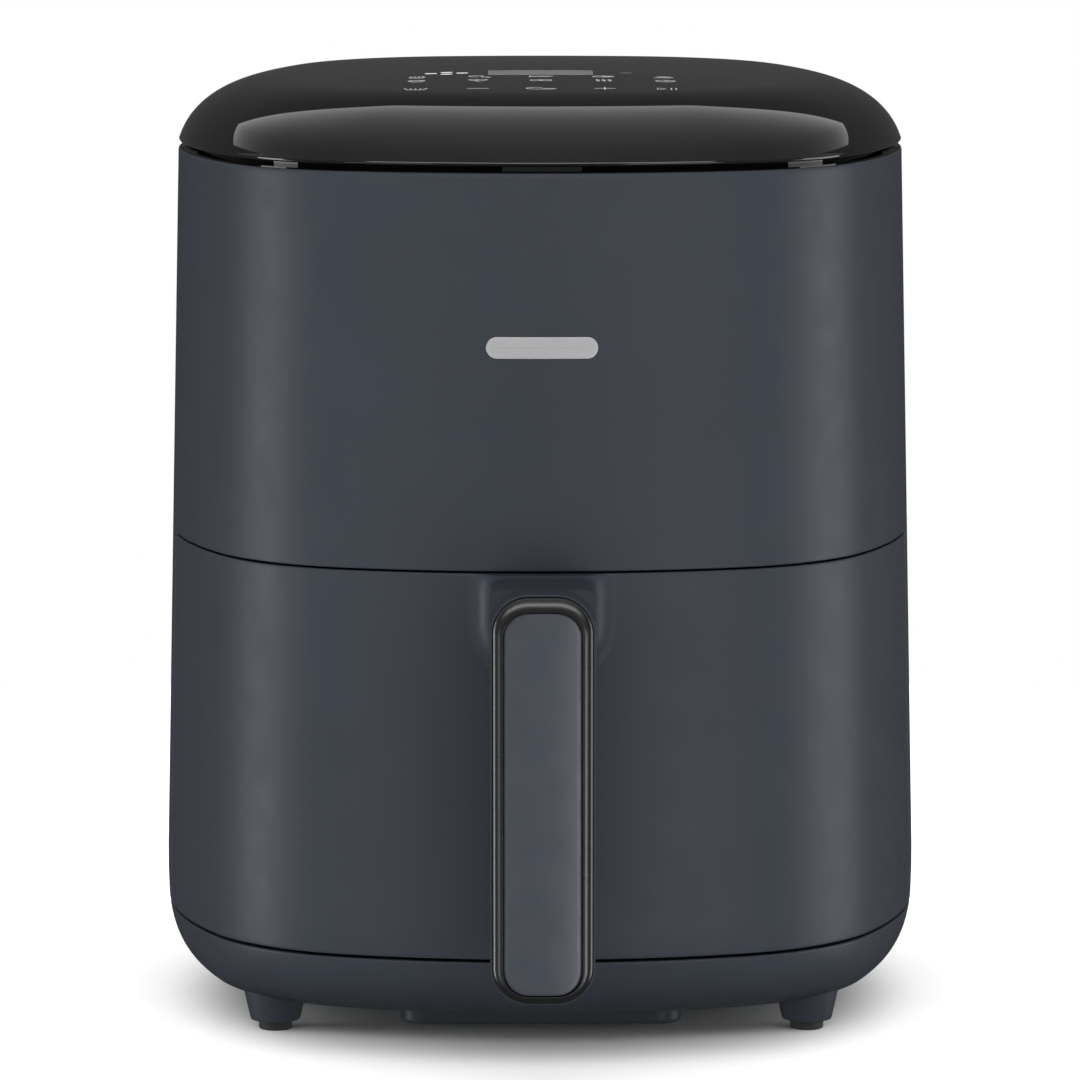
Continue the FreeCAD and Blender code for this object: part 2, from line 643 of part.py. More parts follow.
def element_bracket():
    """A steel strap across the chamber that carries the heating element."""
    low = HEATER_Z - HEATER_TUBE - 2.1
    bar = box(-5, 5, AXIS_Y - 88, AXIS_Y + 88, low, low + 2)
    ends = [box(-5, 5, AXIS_Y + s * 87 - 1, AXIS_Y + s * 87 + 1, low, CHAMBER_HIGH - SHEET) for s in (-1, 1)]
    return fuse([bar] + ends)


def element_guard():
    """The ring grille below the element, hung on the strap by two pegs."""
    low = 168.6
    rings = [tube(r + 2.4, r, 0, AXIS_Y, low, low + 2.4) for r in (16, 32, 48, 64, 80)]
    spokes = []
    for turn in range(4):
        spoke = box(-82, 82, -1.4, 1.4, low, low + 2.4)
        spoke.rotate(vec(0, 0, 0), vec(0, 0, 1), 45 * turn)
        spoke.translate(vec(0, AXIS_Y, 0))
        spokes.append(spoke)
    top = HEATER_Z - HEATER_TUBE - 2.1
    pegs = [post(2.4, 0, AXIS_Y + s * 81, low + 1, top) for s in (-1, 1)]
    return fuse(rings + spokes + pegs)


# === fan, motor and shaft ===================================================================================
def bladed_disc(radius, hub, low, high, blades, web, bore):
    """A flat disc with upright radial blades and a hub."""
    disc = post(radius, 0, AXIS_Y, high - web, high)
    core = post(hub, 0, AXIS_Y, low, high)
    vanes = []
    for i in range(blades):
        vane = box(hub - 1, radius - 1, -0.8, 0.8, low, high - web + 0.2)
        vane.rotate(vec(hub, 0, 0), vec(0, 0, 1), 18)
        vane.rotate(vec(0, 0, 0), vec(0, 0, 1), 360 / blades * i)
        vane.translate(vec(0, AXIS_Y, 0))
        vanes.append(vane)
    whole = fuse([disc, core] + vanes).common(post(radius, 0, AXIS_Y, low - 1, high + 1))
    return whole.cut(post(bore, 0, AXIS_Y, low - 1, high + 1))


def hot_air_fan():
    return bladed_disc(64.0, 9.0, 194.0, 208.0, 12, 1.2, SHAFT_RADIUS)


def cooling_fan():
    return bladed_disc(44.0, 8.0, 279.0, 291.0, 9, 1.5, SHAFT_RADIUS)


def motor_shaft():
    return post(SHAFT_RADIUS, 0, AXIS_Y, 188.0, 294.0)


def fan_nut():
    flats = Part.makePolygon([
        vec(7.0 * math.cos(math.radians(60 * i)), AXIS_Y + 7.0 * math.sin(math.radians(60 * i)), 189.5)
        for i in range(7)
    ])
    nut = Part.Face(flats).extrude(vec(0, 0, 4.5))
    return nut.cut(post(SHAFT_RADIUS, 0, AXIS_Y, 185, 200))


def rotor_core():
    return tube(14.4, SHAFT_RADIUS, 0, AXIS_Y, 250.5, 267.5)


def motor_stator():
    """The laminated C-frame of the shaded-pole motor."""
    stack = slab(-28, 48, AXIS_Y - 26, AXIS_Y + 26, 3, 250, 268)
    window = box(21, 38, AXIS_Y - 13, AXIS_Y + 13, 249, 269)
    return cut(stack, [window, post(14.9, 0, AXIS_Y, 249, 269)])


def motor_coil():
    """The coil wound round the frame's outer leg."""
    coil = slab(26.0, 60.0, AXIS_Y - 12.5, AXIS_Y + 12.5, 4, 241.5, 276.5)
    return coil.cut(box(38.0, 48.0, AXIS_Y - 14, AXIS_Y + 14, 250.0, 268.0))


def motor_bracket():
    plate = slab(-42, 42, AXIS_Y - 34, AXIS_Y + 34, 6, 238.6, 240.6)
    legs = [post(4.0, x, y, SHIELD_Z, 239) for x, y in corners(36, 28, AXIS_Y)]
    window = box(25, 36, AXIS_Y - 14, AXIS_Y + 14, 230, 245)
    return cut(fuse([plate] + legs), [post(7.0, 0, AXIS_Y, 230, 245), window])


def motor_end_caps():
    """The two bridges that hold the bearings, standing off the laminations."""
    caps = []
    for low, posts in ((240.6, (243.0, 250.0)), (275.0, (268.0, 275.5))):
        bridge = slab(-22, 22, AXIS_Y - 21, AXIS_Y + 21, 6, low, low + 3)
        feet = [post(2.5, x, y, *posts) for x, y in corners(18, 18, AXIS_Y)]
        caps.append(cut(fuse([bridge] + feet), [post(7.0, 0, AXIS_Y, 230, 290)]))
    return Part.makeCompound(caps)


def motor_bearings():
    return Part.makeCompound([
        tube(7.0, SHAFT_RADIUS + RUNNING_FIT, 0, AXIS_Y, z, z + 5.0) for z in (240.6, 273.0)
    ])


# === electrics ==============================================================================================
POWER_Z = 246.0


def board_posts():
    return Part.makeCompound([
        fuse([post(3.2, x, y, SHIELD_Z, POWER_Z), post(1.4, x, y, POWER_Z - 1, POWER_Z + 3)])
        for x, y in power_post_places()
    ])


def power_post_places():
    return [(x, y) for x in (-100, -64) for y in (-46, 52)]


def power_board():
    board = slab(-106, -58, -54, 60, 2, POWER_Z, POWER_Z + 1.6)
    return cut(board, [post(1.4, x, y, POWER_Z - 1, POWER_Z + 3) for x, y in power_post_places()])


def power_parts():
    """Relay, transformer, smoothing capacitor and choke on the power board."""
    z = POWER_Z + 1.6
    return Part.makeCompound([
        box(-98, -79, 22, 38, z, z + 15),
        box(-92, -66, -8, 14, z, z + 20),
        post(6.5, -92, -22, z, z + 22),
        tube(8.0, 3.0, -70, 28, z, z + 9),
        box(-84, -64, -36, -33, z, z + 6),
    ])


def display_ribbon():
    return box(-83, -65, -30.5, -29.5, POWER_Z + 9.6, BOARD_Z - 4)


def ribbon_sockets():
    return Part.makeCompound([
        box(-84, -64, -32.9, -27, POWER_Z + 1.6, POWER_Z + 9.6),
        box(-84, -64, -33, -27, BOARD_Z - 4, BOARD_Z),
    ])


def terminal_block():
    """The ceramic block beside one element end, under the edge of the motor's coil."""
    return fuse([box(60.5, 70.5, 14, 34, SHIELD_Z, SHIELD_Z + 8), box(59, 71.2, 17, 31, SHIELD_Z, SHIELD_Z + 4)])


def thermal_fuse():
    body = Part.makeCylinder(2.5, 16, vec(20, 88, SHIELD_Z + 2.5), vec(1, 0, 0))
    clip = box(24, 32, 84, 92, SHIELD_Z, SHIELD_Z + 1.2).cut(body)
    return fuse([body, box(26, 30, 85.2, 90.8, SHIELD_Z, SHIELD_Z + 3), clip])


def temperature_probe():
    stem = post(2.5, 88, 50, 200, 230)
    return fuse([stem, post(6.0, 88, 50, CHAMBER_HIGH, CHAMBER_HIGH + 2)])


def drawer_switch():
    """The safety switch behind the chamber, which the closed pan holds in."""
    case = box(38, 62, CHAMBER[3], CHAMBER[3] + 12, 148, 166)
    return case.cut(rod_y(1.6 + RUNNING_FIT, 50, 157.0, CHAMBER[3] - 1, CHAMBER[3] + 9))


def switch_plunger():
    pin = rod_y(1.6, 50, 157.0, 107.1, CHAMBER[3] + 8)
    return pin.makeFillet(0.8, [e for e in pin.Edges if e.BoundBox.YMax < 107.2])


# === output =================================================================================================
NODES = [
    outer_housing, rear_grille, cord_inlet, base_shell, base_cover, foot_pads, base_screws, bay_fascia, badge,
    top_lid, display_window, status_lamps, lid_collar, collar_tab, control_tray, touch_board, display_module,
    touch_springs, drawer_front, handle_shell, handle_frame, handle_inlay, handle_screws, drawer_frame,
    drawer_pan, pan_bracket, pan_screws, crisper_plate, plate_bumpers, inner_chamber, drawer_guides,
    exhaust_duct, heat_shield, heating_element, element_bracket, element_guard, hot_air_fan, cooling_fan,
    motor_shaft, fan_nut, rotor_core, motor_stator, motor_coil, motor_bracket, motor_end_caps, motor_bearings,
    board_posts, power_board, power_parts, display_ribbon, ribbon_sockets, terminal_block, thermal_fuse,
    temperature_probe, drawer_switch, switch_plunger,
]


def write_node(build):
    """Builds a piece, moves it into the object's frame and writes its STEP file."""
    shape = build()
    shape.translate(vec(0, ORIGIN_SHIFT, 0))
    if not shape.isValid() or not shape.Solids:
        print("check", build.__name__, "valid", shape.isValid(), "solids", len(shape.Solids))
    shape.exportStep(os.path.join("parts", build.__name__ + ".step"))
    return shape.BoundBox


def main():
    os.makedirs("parts", exist_ok=True)
    whole = FreeCAD.BoundBox()
    for build in NODES:
        whole.add(write_node(build))
    print("nodes", len(NODES), "size", [round(s, 1) for s in (whole.XLength, whole.YLength, whole.ZLength)])
    print("centre", round(whole.Center.x, 3), round(whole.Center.y, 3), "lowest", round(whole.ZMin, 3))


main()
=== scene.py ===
import json
import math

import bmesh
import bpy
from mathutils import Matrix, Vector
from mathutils.bvhtree import BVHTree


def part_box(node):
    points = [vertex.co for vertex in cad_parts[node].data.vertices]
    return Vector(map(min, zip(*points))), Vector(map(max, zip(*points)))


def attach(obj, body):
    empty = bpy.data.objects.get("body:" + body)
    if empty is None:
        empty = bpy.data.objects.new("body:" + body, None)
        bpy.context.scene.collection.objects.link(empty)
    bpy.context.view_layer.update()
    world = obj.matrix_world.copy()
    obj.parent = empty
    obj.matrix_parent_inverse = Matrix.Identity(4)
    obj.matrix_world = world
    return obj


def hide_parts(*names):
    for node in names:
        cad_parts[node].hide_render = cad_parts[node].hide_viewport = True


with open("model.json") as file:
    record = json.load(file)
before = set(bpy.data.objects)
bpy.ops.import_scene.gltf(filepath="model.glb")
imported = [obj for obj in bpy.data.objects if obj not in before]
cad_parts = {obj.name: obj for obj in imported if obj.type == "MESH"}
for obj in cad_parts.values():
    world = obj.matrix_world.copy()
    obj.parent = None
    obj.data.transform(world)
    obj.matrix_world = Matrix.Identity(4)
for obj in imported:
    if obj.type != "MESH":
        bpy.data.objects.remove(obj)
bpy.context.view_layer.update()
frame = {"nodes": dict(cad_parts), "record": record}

# A single-drawer air fryer. Shapes are worked out in millimetres about the body's own centre line, then
# placed in the frame in metres: +Z up, the drawer towards -Y, the table at Z = 0.
MM = 0.001
LID_LOW, LID_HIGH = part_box("top_lid")
CENTRE_Y = (LID_LOW[1] + LID_HIGH[1]) / 2

# --- body -----------------------------------------------------------------------------------------------
BODY_SIZE = (133.5, 141.0, 216.0, 212.2, 77.2)      # half width, half depth, end arc, side arc, corner arc
BELLY_Z, BODY_TOP = 55.0, 305.0
TAPER = (5.1, 3.9, 3.9, 5.1, 5.1)                   # how much smaller each size is at BODY_TOP
WALL = 2.6
SEAM_MID, SEAM_LOW, SEAM_GAP = 169.4, 35.5, 0.7
WRAP_Y = -30.0                                      # where the drawer front ends on each side
RIM_RADIUS = 0.9                                    # round edge at the top of the housing
LEDGE_INSETS = (2.4, 12.0)
BOWL_BOTTOM, BOWL_RISE, BOWL_POWER = 8.56, 39.38, 2.84
BOWL_TUCK = (38.8, 76.5, 0.0, 21.1, 20.8)
LOWER_WALL_BOTTOM = SEAM_LOW + 0.5                  # of the drawer front and the walls behind it
DECK_TOP, DECK_RADIUS = SEAM_LOW - 0.5, 0.7
FOOT_X, FOOT_Y, PAD_HEIGHT = 93.2, 75.0, 3.2
FOOT_PROFILE = ((0.1, PAD_HEIGHT), (7.6, PAD_HEIGHT), (8.5, 3.5), (8.9, 4.4), (12.4, 20.0))
POST_X, POST_Y, POST_RADIUS, POST_TOP = 75.0, 55.0, 6.0, 39.9

# --- rear: vent slots, grille and cord bush -------------------------------------------------------------
VENT_COUNT, VENT_LOW, VENT_PITCH = 6, 258.0, 5.5
VENT_HALF_WIDTH, VENT_HEIGHT, VENT_CORNER = 40.0, 2.6, 1.27
GRILLE_CUT = (38.15, 182.85, 219.15, 4.15)          # half width, low, high, corner
BUSH_Z, BUSH_RADIUS = 62.0, 8.0
CUT_FROM, CUT_TO = 118.0, 150.0

# --- lid ------------------------------------------------------------------------------------------------
LID_EDGE, LID_WALL, LID_EDGE_RADIUS = 307.3, 2.4, 0.8
LID_LIP = ((0.0, 0.9), (0.1, 0.45), (0.4, 0.12), (0.8, 0.0), (1.7, 0.0), (2.1, 0.15), (2.3, 0.6))
LID_SIZE = (129.5, 136.9, 212.0, 208.3, 72.0)
LID_TUCK = (41.3, 36.0, 0.0, 20.6, 15.3)
LID_Z0, LID_RISE, LID_POWER = 297.5, 35.2, 2.38
LID_CROWN, LID_CROWN_POWER, LID_SHOULDER = 2.4, 1.87, 0.36
COLLAR_SIZE = (121.6, 130.3, 205.4, 200.4, 68.4)
COLLAR_TOP, COLLAR_WALL, COLLAR_EDGE = 311.0, 3.0, 0.4
FLANGE_INSET, FLANGE = 1.2, 0.5
WINDOW, WINDOW_CORNER = (-18.4, 18.4, -39.9, -20.1), 1.0
LAMP_PLACES = ((-38.5, -31.0), (-33.0, -27.0), (-33.0, -35.0), (-27.5, -31.0))
LAMP_HALF_LENGTH, LAMP_HALF_WIDTH, LAMP_CORNER = 2.1, 1.2, 1.15

# --- handle ---------------------------------------------------------------------------------------------
GRIP_HALF_WIDTH, GRIP_CORNER = 17.6, 13.0
GRIP_LOW, GRIP_HIGH = 28.9, 168.0
GRIP_FRONT, GRIP_REAR = -185.0, -167.0
GRIP_RADIUS = 5.0                                   # finger side
RING_FRONT, RING_INSET, RING_DEPTH = -188.2, 0.95, 5.9
INLAY_HALF_WIDTH, INLAY_LOW, INLAY_HIGH, INLAY_CORNER = 13.25, 32.45, 162.05, 8.45
INLAY_GAP, INLAY_SET_BACK, INLAY_CROWN = 0.15, 2.0, 1.0
NECK_BOTTOM, NECK_FLARE, NECK_TOP_CORNER = 139.0, 8.0, 4.0

BADGE_Z, BADGE_HALF_HEIGHT, BADGE_HALF_LENGTH = 246.0, 3.7, 19.0


# === mesh helpers =======================================================================================
def place(x, y, z):
    return (x * MM, y * MM + CENTRE_Y, z * MM)


class Shape:
    """Points and faces of one piece, in millimetres, gathered from several parts."""

    def __init__(self):
        self.points, self.faces = [], []

    def add(self, points, faces):
        start = len(self.points)
        self.points += points
        self.faces += [[start + i for i in face] for face in faces]

    def rings(self, rings, first=None, last=None, closed=True, looped=False):
        """Quads between rings of equal length.

        first and last are 'fan' to close an end with a centre point.
        """
        n = len(rings[0])
        points = [tuple(p) for ring in rings for p in ring]
        faces = []
        across = n if closed else n - 1
        pairs = len(rings) if looped else len(rings) - 1
        for i in range(pairs):
            a, b = i * n, (i + 1) % len(rings) * n
            for j in range(across):
                k = (j + 1) % n
                faces.append([a + j, a + k, b + k, b + j])
        for ring, end in ((0, first), (len(rings) - 1, last)):
            if end == "fan":
                middle = [sum(p[c] for p in rings[ring]) / n for c in range(3)]
                points.append(tuple(middle))
                faces += [[ring * n + j, ring * n + (j + 1) % n, len(points) - 1] for j in range(n)]
        self.add(points, faces)


def piece(name, shape, material, body, nodes=(), sharp=40.0, merge=False):
    """A mesh object from a Shape, riding on a body and standing for CAD nodes."""
    mesh = bpy.data.meshes.new(name)
    mesh.from_pydata([place(*p) for p in shape.points], [], shape.faces)
    bm = bmesh.new()
    bm.from_mesh(mesh)
    if merge:
        bmesh.ops.remove_doubles(bm, verts=bm.verts, dist=0.02 * MM)
    bmesh.ops.recalc_face_normals(bm, faces=bm.faces)
    bm.to_mesh(mesh)
    bm.free()
    mesh.polygons.foreach_set("use_smooth", [True] * len(mesh.polygons))
    mesh.set_sharp_from_angle(angle=math.radians(sharp))
    obj = bpy.data.objects.new(name, mesh)
    bpy.context.scene.collection.objects.link(obj)
    obj.data.materials.append(material)
    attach(obj, body)
    if nodes:
        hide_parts(*nodes)
    return obj


def settle(obj, sharp=40.0):
    """Replaces the object's mesh by what its modifiers make of it."""
    graph = bpy.context.evaluated_depsgraph_get()
    mesh = bpy.data.meshes.new_from_object(obj.evaluated_get(graph), depsgraph=graph)
    obj.modifiers.clear()
    obj.data = mesh
    mesh.polygons.foreach_set("use_smooth", [True] * len(mesh.polygons))
    mesh.set_sharp_from_angle(angle=math.radians(sharp))


def thicken(obj, thickness, edge=0.55):
    """Wall thickness inwards, with small rounded edges."""
    solid = obj.modifiers.new("wall", "SOLIDIFY")
    solid.thickness = thickness * MM
    solid.offset = -1.0
    solid.use_even_offset = True
    round_edges(obj, edge)


def round_edges(obj, edge, angle=50.0):
    bevel = obj.modifiers.new("edges", "BEVEL")
    bevel.width = edge * MM
    bevel.segments = 3
    bevel.limit_method = "ANGLE"
    bevel.angle_limit = math.radians(angle)


def cut_away(obj, cutter_shape):
    """Takes a closed Shape out of the object."""
    mesh = bpy.data.meshes.new("cutter")
    mesh.from_pydata([place(*p) for p in cutter_shape.points], [], cutter_shape.faces)
    bm = bmesh.new()
    bm.from_mesh(mesh)
    bmesh.ops.recalc_face_normals(bm, faces=bm.faces)
    bm.to_mesh(mesh)
    bm.free()
    cutter = bpy.data.objects.new("cutter", mesh)
    bpy.context.scene.collection.objects.link(cutter)
    boolean = obj.modifiers.new("cut", "BOOLEAN")
    boolean.operation = "DIFFERENCE"
    boolean.object = cutter
    boolean.solver = "EXACT"
    settle(obj)
    bpy.data.objects.remove(cutter)


# === outlines ===========================================================================================
def shrink(size, inset, tuck=(0, 0, 0, 0, 0), share=0.0):
    return tuple(s - inset - t * share for s, t in zip(size, tuck))


def arcs_of(size):
    """Centres of the end, side and corner arcs of the front right quarter, and where they meet."""
    half_width, half_depth, end_arc, side_arc, corner_arc = size
    end = Vector((0, end_arc - half_depth))
    side = Vector((half_width - side_arc, 0))
    apart = side - end
    r1, r2, d = end_arc - corner_arc, side_arc - corner_arc, apart.length
    along = (r1 * r1 - r2 * r2 + d * d) / (2 * d)
    across = math.sqrt(r1 * r1 - along * along)
    unit = apart / d
    corner = end + unit * along + Vector((-unit.y, unit.x)) * across
    meet_end = corner + (corner - end).normalized() * corner_arc
    meet_side = corner + (corner - side).normalized() * corner_arc
    return end, side, corner, meet_end, meet_side


END_STEPS, CORNER_STEPS, FRONT_STEPS, REAR_STEPS = 20, 22, 10, 18


def half_outline(size, split=WRAP_Y):
    """Points from the middle of the front to the middle of the rear on the right.

    One of them is at Y = split.
    """
    end_arc, side_arc, corner_arc = size[2:]
    end, side, corner, meet_end, meet_side = arcs_of(size)
    points = []
    for i in range(END_STEPS):
        x = meet_end.x * i / END_STEPS
        points.append((x, end.y - math.sqrt(end_arc ** 2 - x * x)))
    low = math.atan2(meet_end.y - corner.y, meet_end.x - corner.x)
    high = math.atan2(meet_side.y - corner.y, meet_side.x - corner.x)
    turn = [low + (high - low) * i / CORNER_STEPS for i in range(CORNER_STEPS)]
    points += [(corner.x + corner_arc * math.cos(a), corner.y + corner_arc * math.sin(a)) for a in turn]
    ys = [meet_side.y + (split - meet_side.y) * i / FRONT_STEPS for i in range(FRONT_STEPS)]
    ys += [split + (-meet_side.y - split) * i / REAR_STEPS for i in range(REAR_STEPS)]
    points += [(side.x + math.sqrt(side_arc ** 2 - y * y), y) for y in ys]
    back = turn[::-1]
    points += [(corner.x + corner_arc * math.cos(a), -corner.y - corner_arc * math.sin(a)) for a in back]
    # the corner run above starts one step past the meeting point with the side, so that point is added here
    points.insert(len(points) - CORNER_STEPS, (meet_side.x, -meet_side.y))
    for i in range(END_STEPS - 1, -1, -1):
        x = meet_end.x * i / END_STEPS
        points.append((x, math.sqrt(end_arc ** 2 - x * x) - end.y))
    return points


SPLIT_INDEX = END_STEPS + CORNER_STEPS + FRONT_STEPS


def outline(size, split=WRAP_Y):
    """The whole outline, closed, from the middle of the front round by the right."""
    right = half_outline(size, split)
    return right + [(-x, y) for x, y in right[-2:0:-1]]


def quarter(turn, power):
    angle = turn * math.pi / 2
    return 1 - math.cos(angle) ** (2 / power), math.sin(angle) ** (2 / power)


def body_size(z, inset=0.0):
    """Outline sizes of the body at a height."""
    rim = BOWL_BOTTOM + BOWL_RISE
    down = min(1.0, max(0.0, (rim - z) / BOWL_RISE))
    tuck = 1 - (1 - down ** BOWL_POWER) ** (1 / BOWL_POWER)
    above = max(0.0, (z - BELLY_Z) / (BODY_TOP - BELLY_Z))
    return shrink(shrink(BODY_SIZE, inset, TAPER, above), 0, BOWL_TUCK, tuck)


def level(points, z):
    return [(x, y, z) for x, y in points]


def front_y(x, z):
    """Y of the body's front face."""
    half_depth, end_arc = body_size(z)[1:3]
    return end_arc - half_depth - math.sqrt(end_arc ** 2 - x * x)


def rounded_rectangle(half_width, low, high, radius, steps=10, runs=1, top_radius=None):
    """(x, z) points round an upright rectangle with round corners, from the lower right.

    runs is the number of pieces that each straight side is divided into.
    """
    above = radius if top_radius is None else top_radius
    points = []
    for side, cz, r, start in (
        (1, low + radius, radius, -90), (1, high - above, above, 0),
        (-1, high - above, above, 90), (-1, low + radius, radius, 180),
    ):
        for i in range(steps + 1):
            a = math.radians(start + 90 * i / steps)
            points.append((side * (half_width - r) + r * math.cos(a), cz + r * math.sin(a)))
    sides = []
    for i, (x, z) in enumerate(points):
        sides.append((x, z))
        if (i + 1) % (steps + 1) == 0:
            to_x, to_z = points[(i + 1) % len(points)]
            sides += [(x + (to_x - x) * j / runs, z + (to_z - z) * j / runs) for j in range(1, runs)]
    return sides


def upright(points, y):
    return [(x, y, z) for x, z in points]


# === materials ==========================================================================================
def node(tree, kind, **sockets):
    made = tree.nodes.new(kind)
    for key, value in sockets.items():
        made.inputs[key.replace("_", " ")].default_value = value
    return made


def noise(tree, where, scale, detail=3.0, roughness=0.55):
    made = node(tree, "ShaderNodeTexNoise", Scale=scale, Detail=detail, Roughness=roughness)
    tree.links.new(where, made.inputs["Vector"])
    return made.outputs["Fac"]


def spread(tree, value, low, high, from_low=0.3, from_high=0.7):
    """A 0 to 1 pattern stretched to a range."""
    made = tree.nodes.new("ShaderNodeMapRange")
    made.inputs["From Min"].default_value = from_low
    made.inputs["From Max"].default_value = from_high
    made.inputs["To Min"].default_value = low
    made.inputs["To Max"].default_value = high
    tree.links.new(value, made.inputs["Value"])
    return made.outputs["Result"]


def blend_colours(tree, share, dark, light):
    made = tree.nodes.new("ShaderNodeMix")
    made.data_type = "RGBA"
    made.inputs[6].default_value = (*dark, 1)
    made.inputs[7].default_value = (*light, 1)
    tree.links.new(share, made.inputs[0])
    return made.outputs[2]


def base_material(name):
    material = bpy.data.materials.new(name)
    material.use_nodes = True
    tree = material.node_tree
    shader = tree.nodes["Principled BSDF"]
    where = tree.nodes.new("ShaderNodeTexCoord").outputs["Object"]
    return material, tree, shader, where


def add_bump(tree, shader, height, strength, depth_mm):
    bump = tree.nodes.new("ShaderNodeBump")
    bump.inputs["Strength"].default_value = strength
    bump.inputs["Distance"].default_value = depth_mm * MM
    tree.links.new(height, bump.inputs["Height"])
    tree.links.new(bump.outputs["Normal"], shader.inputs["Normal"])


def moulded(name, colour, roughness, variation=0.08, grain=2600.0, grain_depth=0.02, specular=0.5,
            rough_variation=0.05):
    """Moulded plastic or rubber: a fine surface grain, broad colour drift and uneven sheen."""
    material, tree, shader, where = base_material(name)
    broad = noise(tree, where, 22.0, 4.0)
    dark = [c * (1 - variation) for c in colour]
    light = [c * (1 + variation) for c in colour]
    tree.links.new(blend_colours(tree, broad, dark, light), shader.inputs["Base Color"])
    sheen = noise(tree, where, 90.0, 5.0, 0.65)
    tree.links.new(
        spread(tree, sheen, roughness - rough_variation, roughness + rough_variation),
        shader.inputs["Roughness"])
    shader.inputs["Specular IOR Level"].default_value = specular
    add_bump(tree, shader, noise(tree, where, grain, 2.0), 0.35, grain_depth)
    return material


def gloss(name, colour, roughness=0.015, haze=0.02, ripple=0.002, specular=0.5, variation=0.15):
    """Polished dark plastic: a faint ripple, dust and hairline marks that show only in the reflections."""
    material, tree, shader, where = base_material(name)
    broad = noise(tree, where, 14.0, 3.0)
    dark = [c * (1 - variation) for c in colour]
    light = [c * (1 + variation) for c in colour]
    tree.links.new(blend_colours(tree, broad, dark, light), shader.inputs["Base Color"])
    marks = noise(tree, where, 160.0, 8.0, 0.7)
    tree.links.new(spread(tree, marks, roughness, roughness + haze, 0.45, 0.75), shader.inputs["Roughness"])
    shader.inputs["Specular IOR Level"].default_value = specular
    add_bump(tree, shader, noise(tree, where, 40.0, 2.0), 0.1, ripple)
    return material


def metal(name, colour, roughness, brushed_along=None, variation=0.12, depth=0.01):
    """Bare metal: drawn or rolled lines along one axis where given, and uneven tarnish."""
    material, tree, shader, where = base_material(name)
    mapping = tree.nodes.new("ShaderNodeMapping")
    tree.links.new(where, mapping.inputs["Vector"])
    stretch = [900.0, 900.0, 900.0]
    if brushed_along is not None:
        stretch[brushed_along] = 12.0
    mapping.inputs["Scale"].default_value = stretch
    lines = noise(tree, mapping.outputs["Vector"], 1.0, 3.0)
    tarnish = noise(tree, where, 30.0, 5.0)
    dark = [c * (1 - variation) for c in colour]
    light = [c * (1 + variation) for c in colour]
    tree.links.new(blend_colours(tree, tarnish, dark, light), shader.inputs["Base Color"])
    shader.inputs["Metallic"].default_value = 1.0
    tree.links.new(spread(tree, lines, roughness - 0.08, roughness + 0.08), shader.inputs["Roughness"])
    add_bump(tree, shader, lines, 0.3, depth)
    return material


def printed(name, colour, glow=0.0):
    """Screen-printed ink or a lens: slightly uneven cover. glow adds emission, a painted glow that
    brightens a print which is no lamp.
    """
    material, tree, shader, where = base_material(name)
    cover = noise(tree, where, 700.0, 3.0)
    shade = blend_colours(tree, cover, [c * 0.82 for c in colour], colour)
    tree.links.new(shade, shader.inputs["Base Color"])
    tree.links.new(spread(tree, cover, 0.3, 0.45), shader.inputs["Roughness"])
    # painted glow: emission that makes the ink itself shine, though it is no lamp
    if glow:
        tree.links.new(shade, shader.inputs["Emission Color"])
        shader.inputs["Emission Strength"].default_value = glow
    return material


def speckled(name, colour, fleck):
    """Non-stick coating: near-black with fine pale flecks and a soft sheen."""
    material, tree, shader, where = base_material(name)
    flecks = noise(tree, where, 1500.0, 1.0)
    share = spread(tree, flecks, 0.0, 1.0, 0.66, 0.72)
    tree.links.new(blend_colours(tree, share, colour, fleck), shader.inputs["Base Color"])
    sheen = noise(tree, where, 60.0, 4.0)
    tree.links.new(spread(tree, sheen, 0.3, 0.42), shader.inputs["Roughness"])
    add_bump(tree, shader, noise(tree, where, 900.0, 3.0), 0.3, 0.03)
    return material


SLATE = (0.0214, 0.0252, 0.0332)
MATERIALS = {
    "body_plastic": moulded("body_plastic", SLATE, 0.44, specular=0.2),
    "inner_plastic": moulded("inner_plastic", (0.018, 0.018, 0.020), 0.5),
    "black_rubber": moulded("black_rubber", (0.012, 0.012, 0.012), 0.75, grain=1500.0, grain_depth=0.05),
    "steel_hardware": metal("steel_hardware", (0.60, 0.60, 0.61), 0.32),
    "badge_metal": moulded("badge_metal", (0.23, 0.23, 0.235), 0.3, 0.05, specular=0.8),
    "gloss_black": gloss("gloss_black", (0.006, 0.006, 0.0065)),
    "trim_black": gloss("trim_black", (0.005, 0.005, 0.0052), 0.26, 0.02, specular=0.7),
    "collar_black": gloss("collar_black", (0.0012, 0.0012, 0.0013), 0.02, specular=0.22),
    "display_glass": gloss("display_glass", (0.20, 0.20, 0.21), 0.1),
    "white_lens": printed("white_lens", (0.80, 0.80, 0.80)),
    "circuit_board": moulded("circuit_board", (0.012, 0.09, 0.045), 0.35, 0.25, grain=900.0),
    "handle_inlay": moulded("handle_inlay", (0.027, 0.032, 0.043), 0.34, grain=3200.0, grain_depth=0.012,
                            specular=0.8),
    "nonstick": speckled("nonstick", (0.012, 0.012, 0.013), (0.10, 0.10, 0.10)),
    "sheet_steel": metal("sheet_steel", (0.52, 0.52, 0.51), 0.34, brushed_along=0),
    "element_steel": metal("element_steel", (0.20, 0.18, 0.165), 0.45),
    "fan_aluminium": metal("fan_aluminium", (0.68, 0.68, 0.69), 0.38),
    "lamination_steel": metal("lamination_steel", (0.13, 0.13, 0.14), 0.5),
    "coil_tape": moulded("coil_tape", (0.50, 0.35, 0.07), 0.4, 0.2),
    "bearing_bronze": metal("bearing_bronze", (0.52, 0.36, 0.17), 0.45),
}
# The panel ink gets a faint emission: painted light that brightens the printed symbols, which are no lamp.
GLOWING_INK = printed("panel_ink_painted_glow", (0.52, 0.52, 0.53), 0.08)


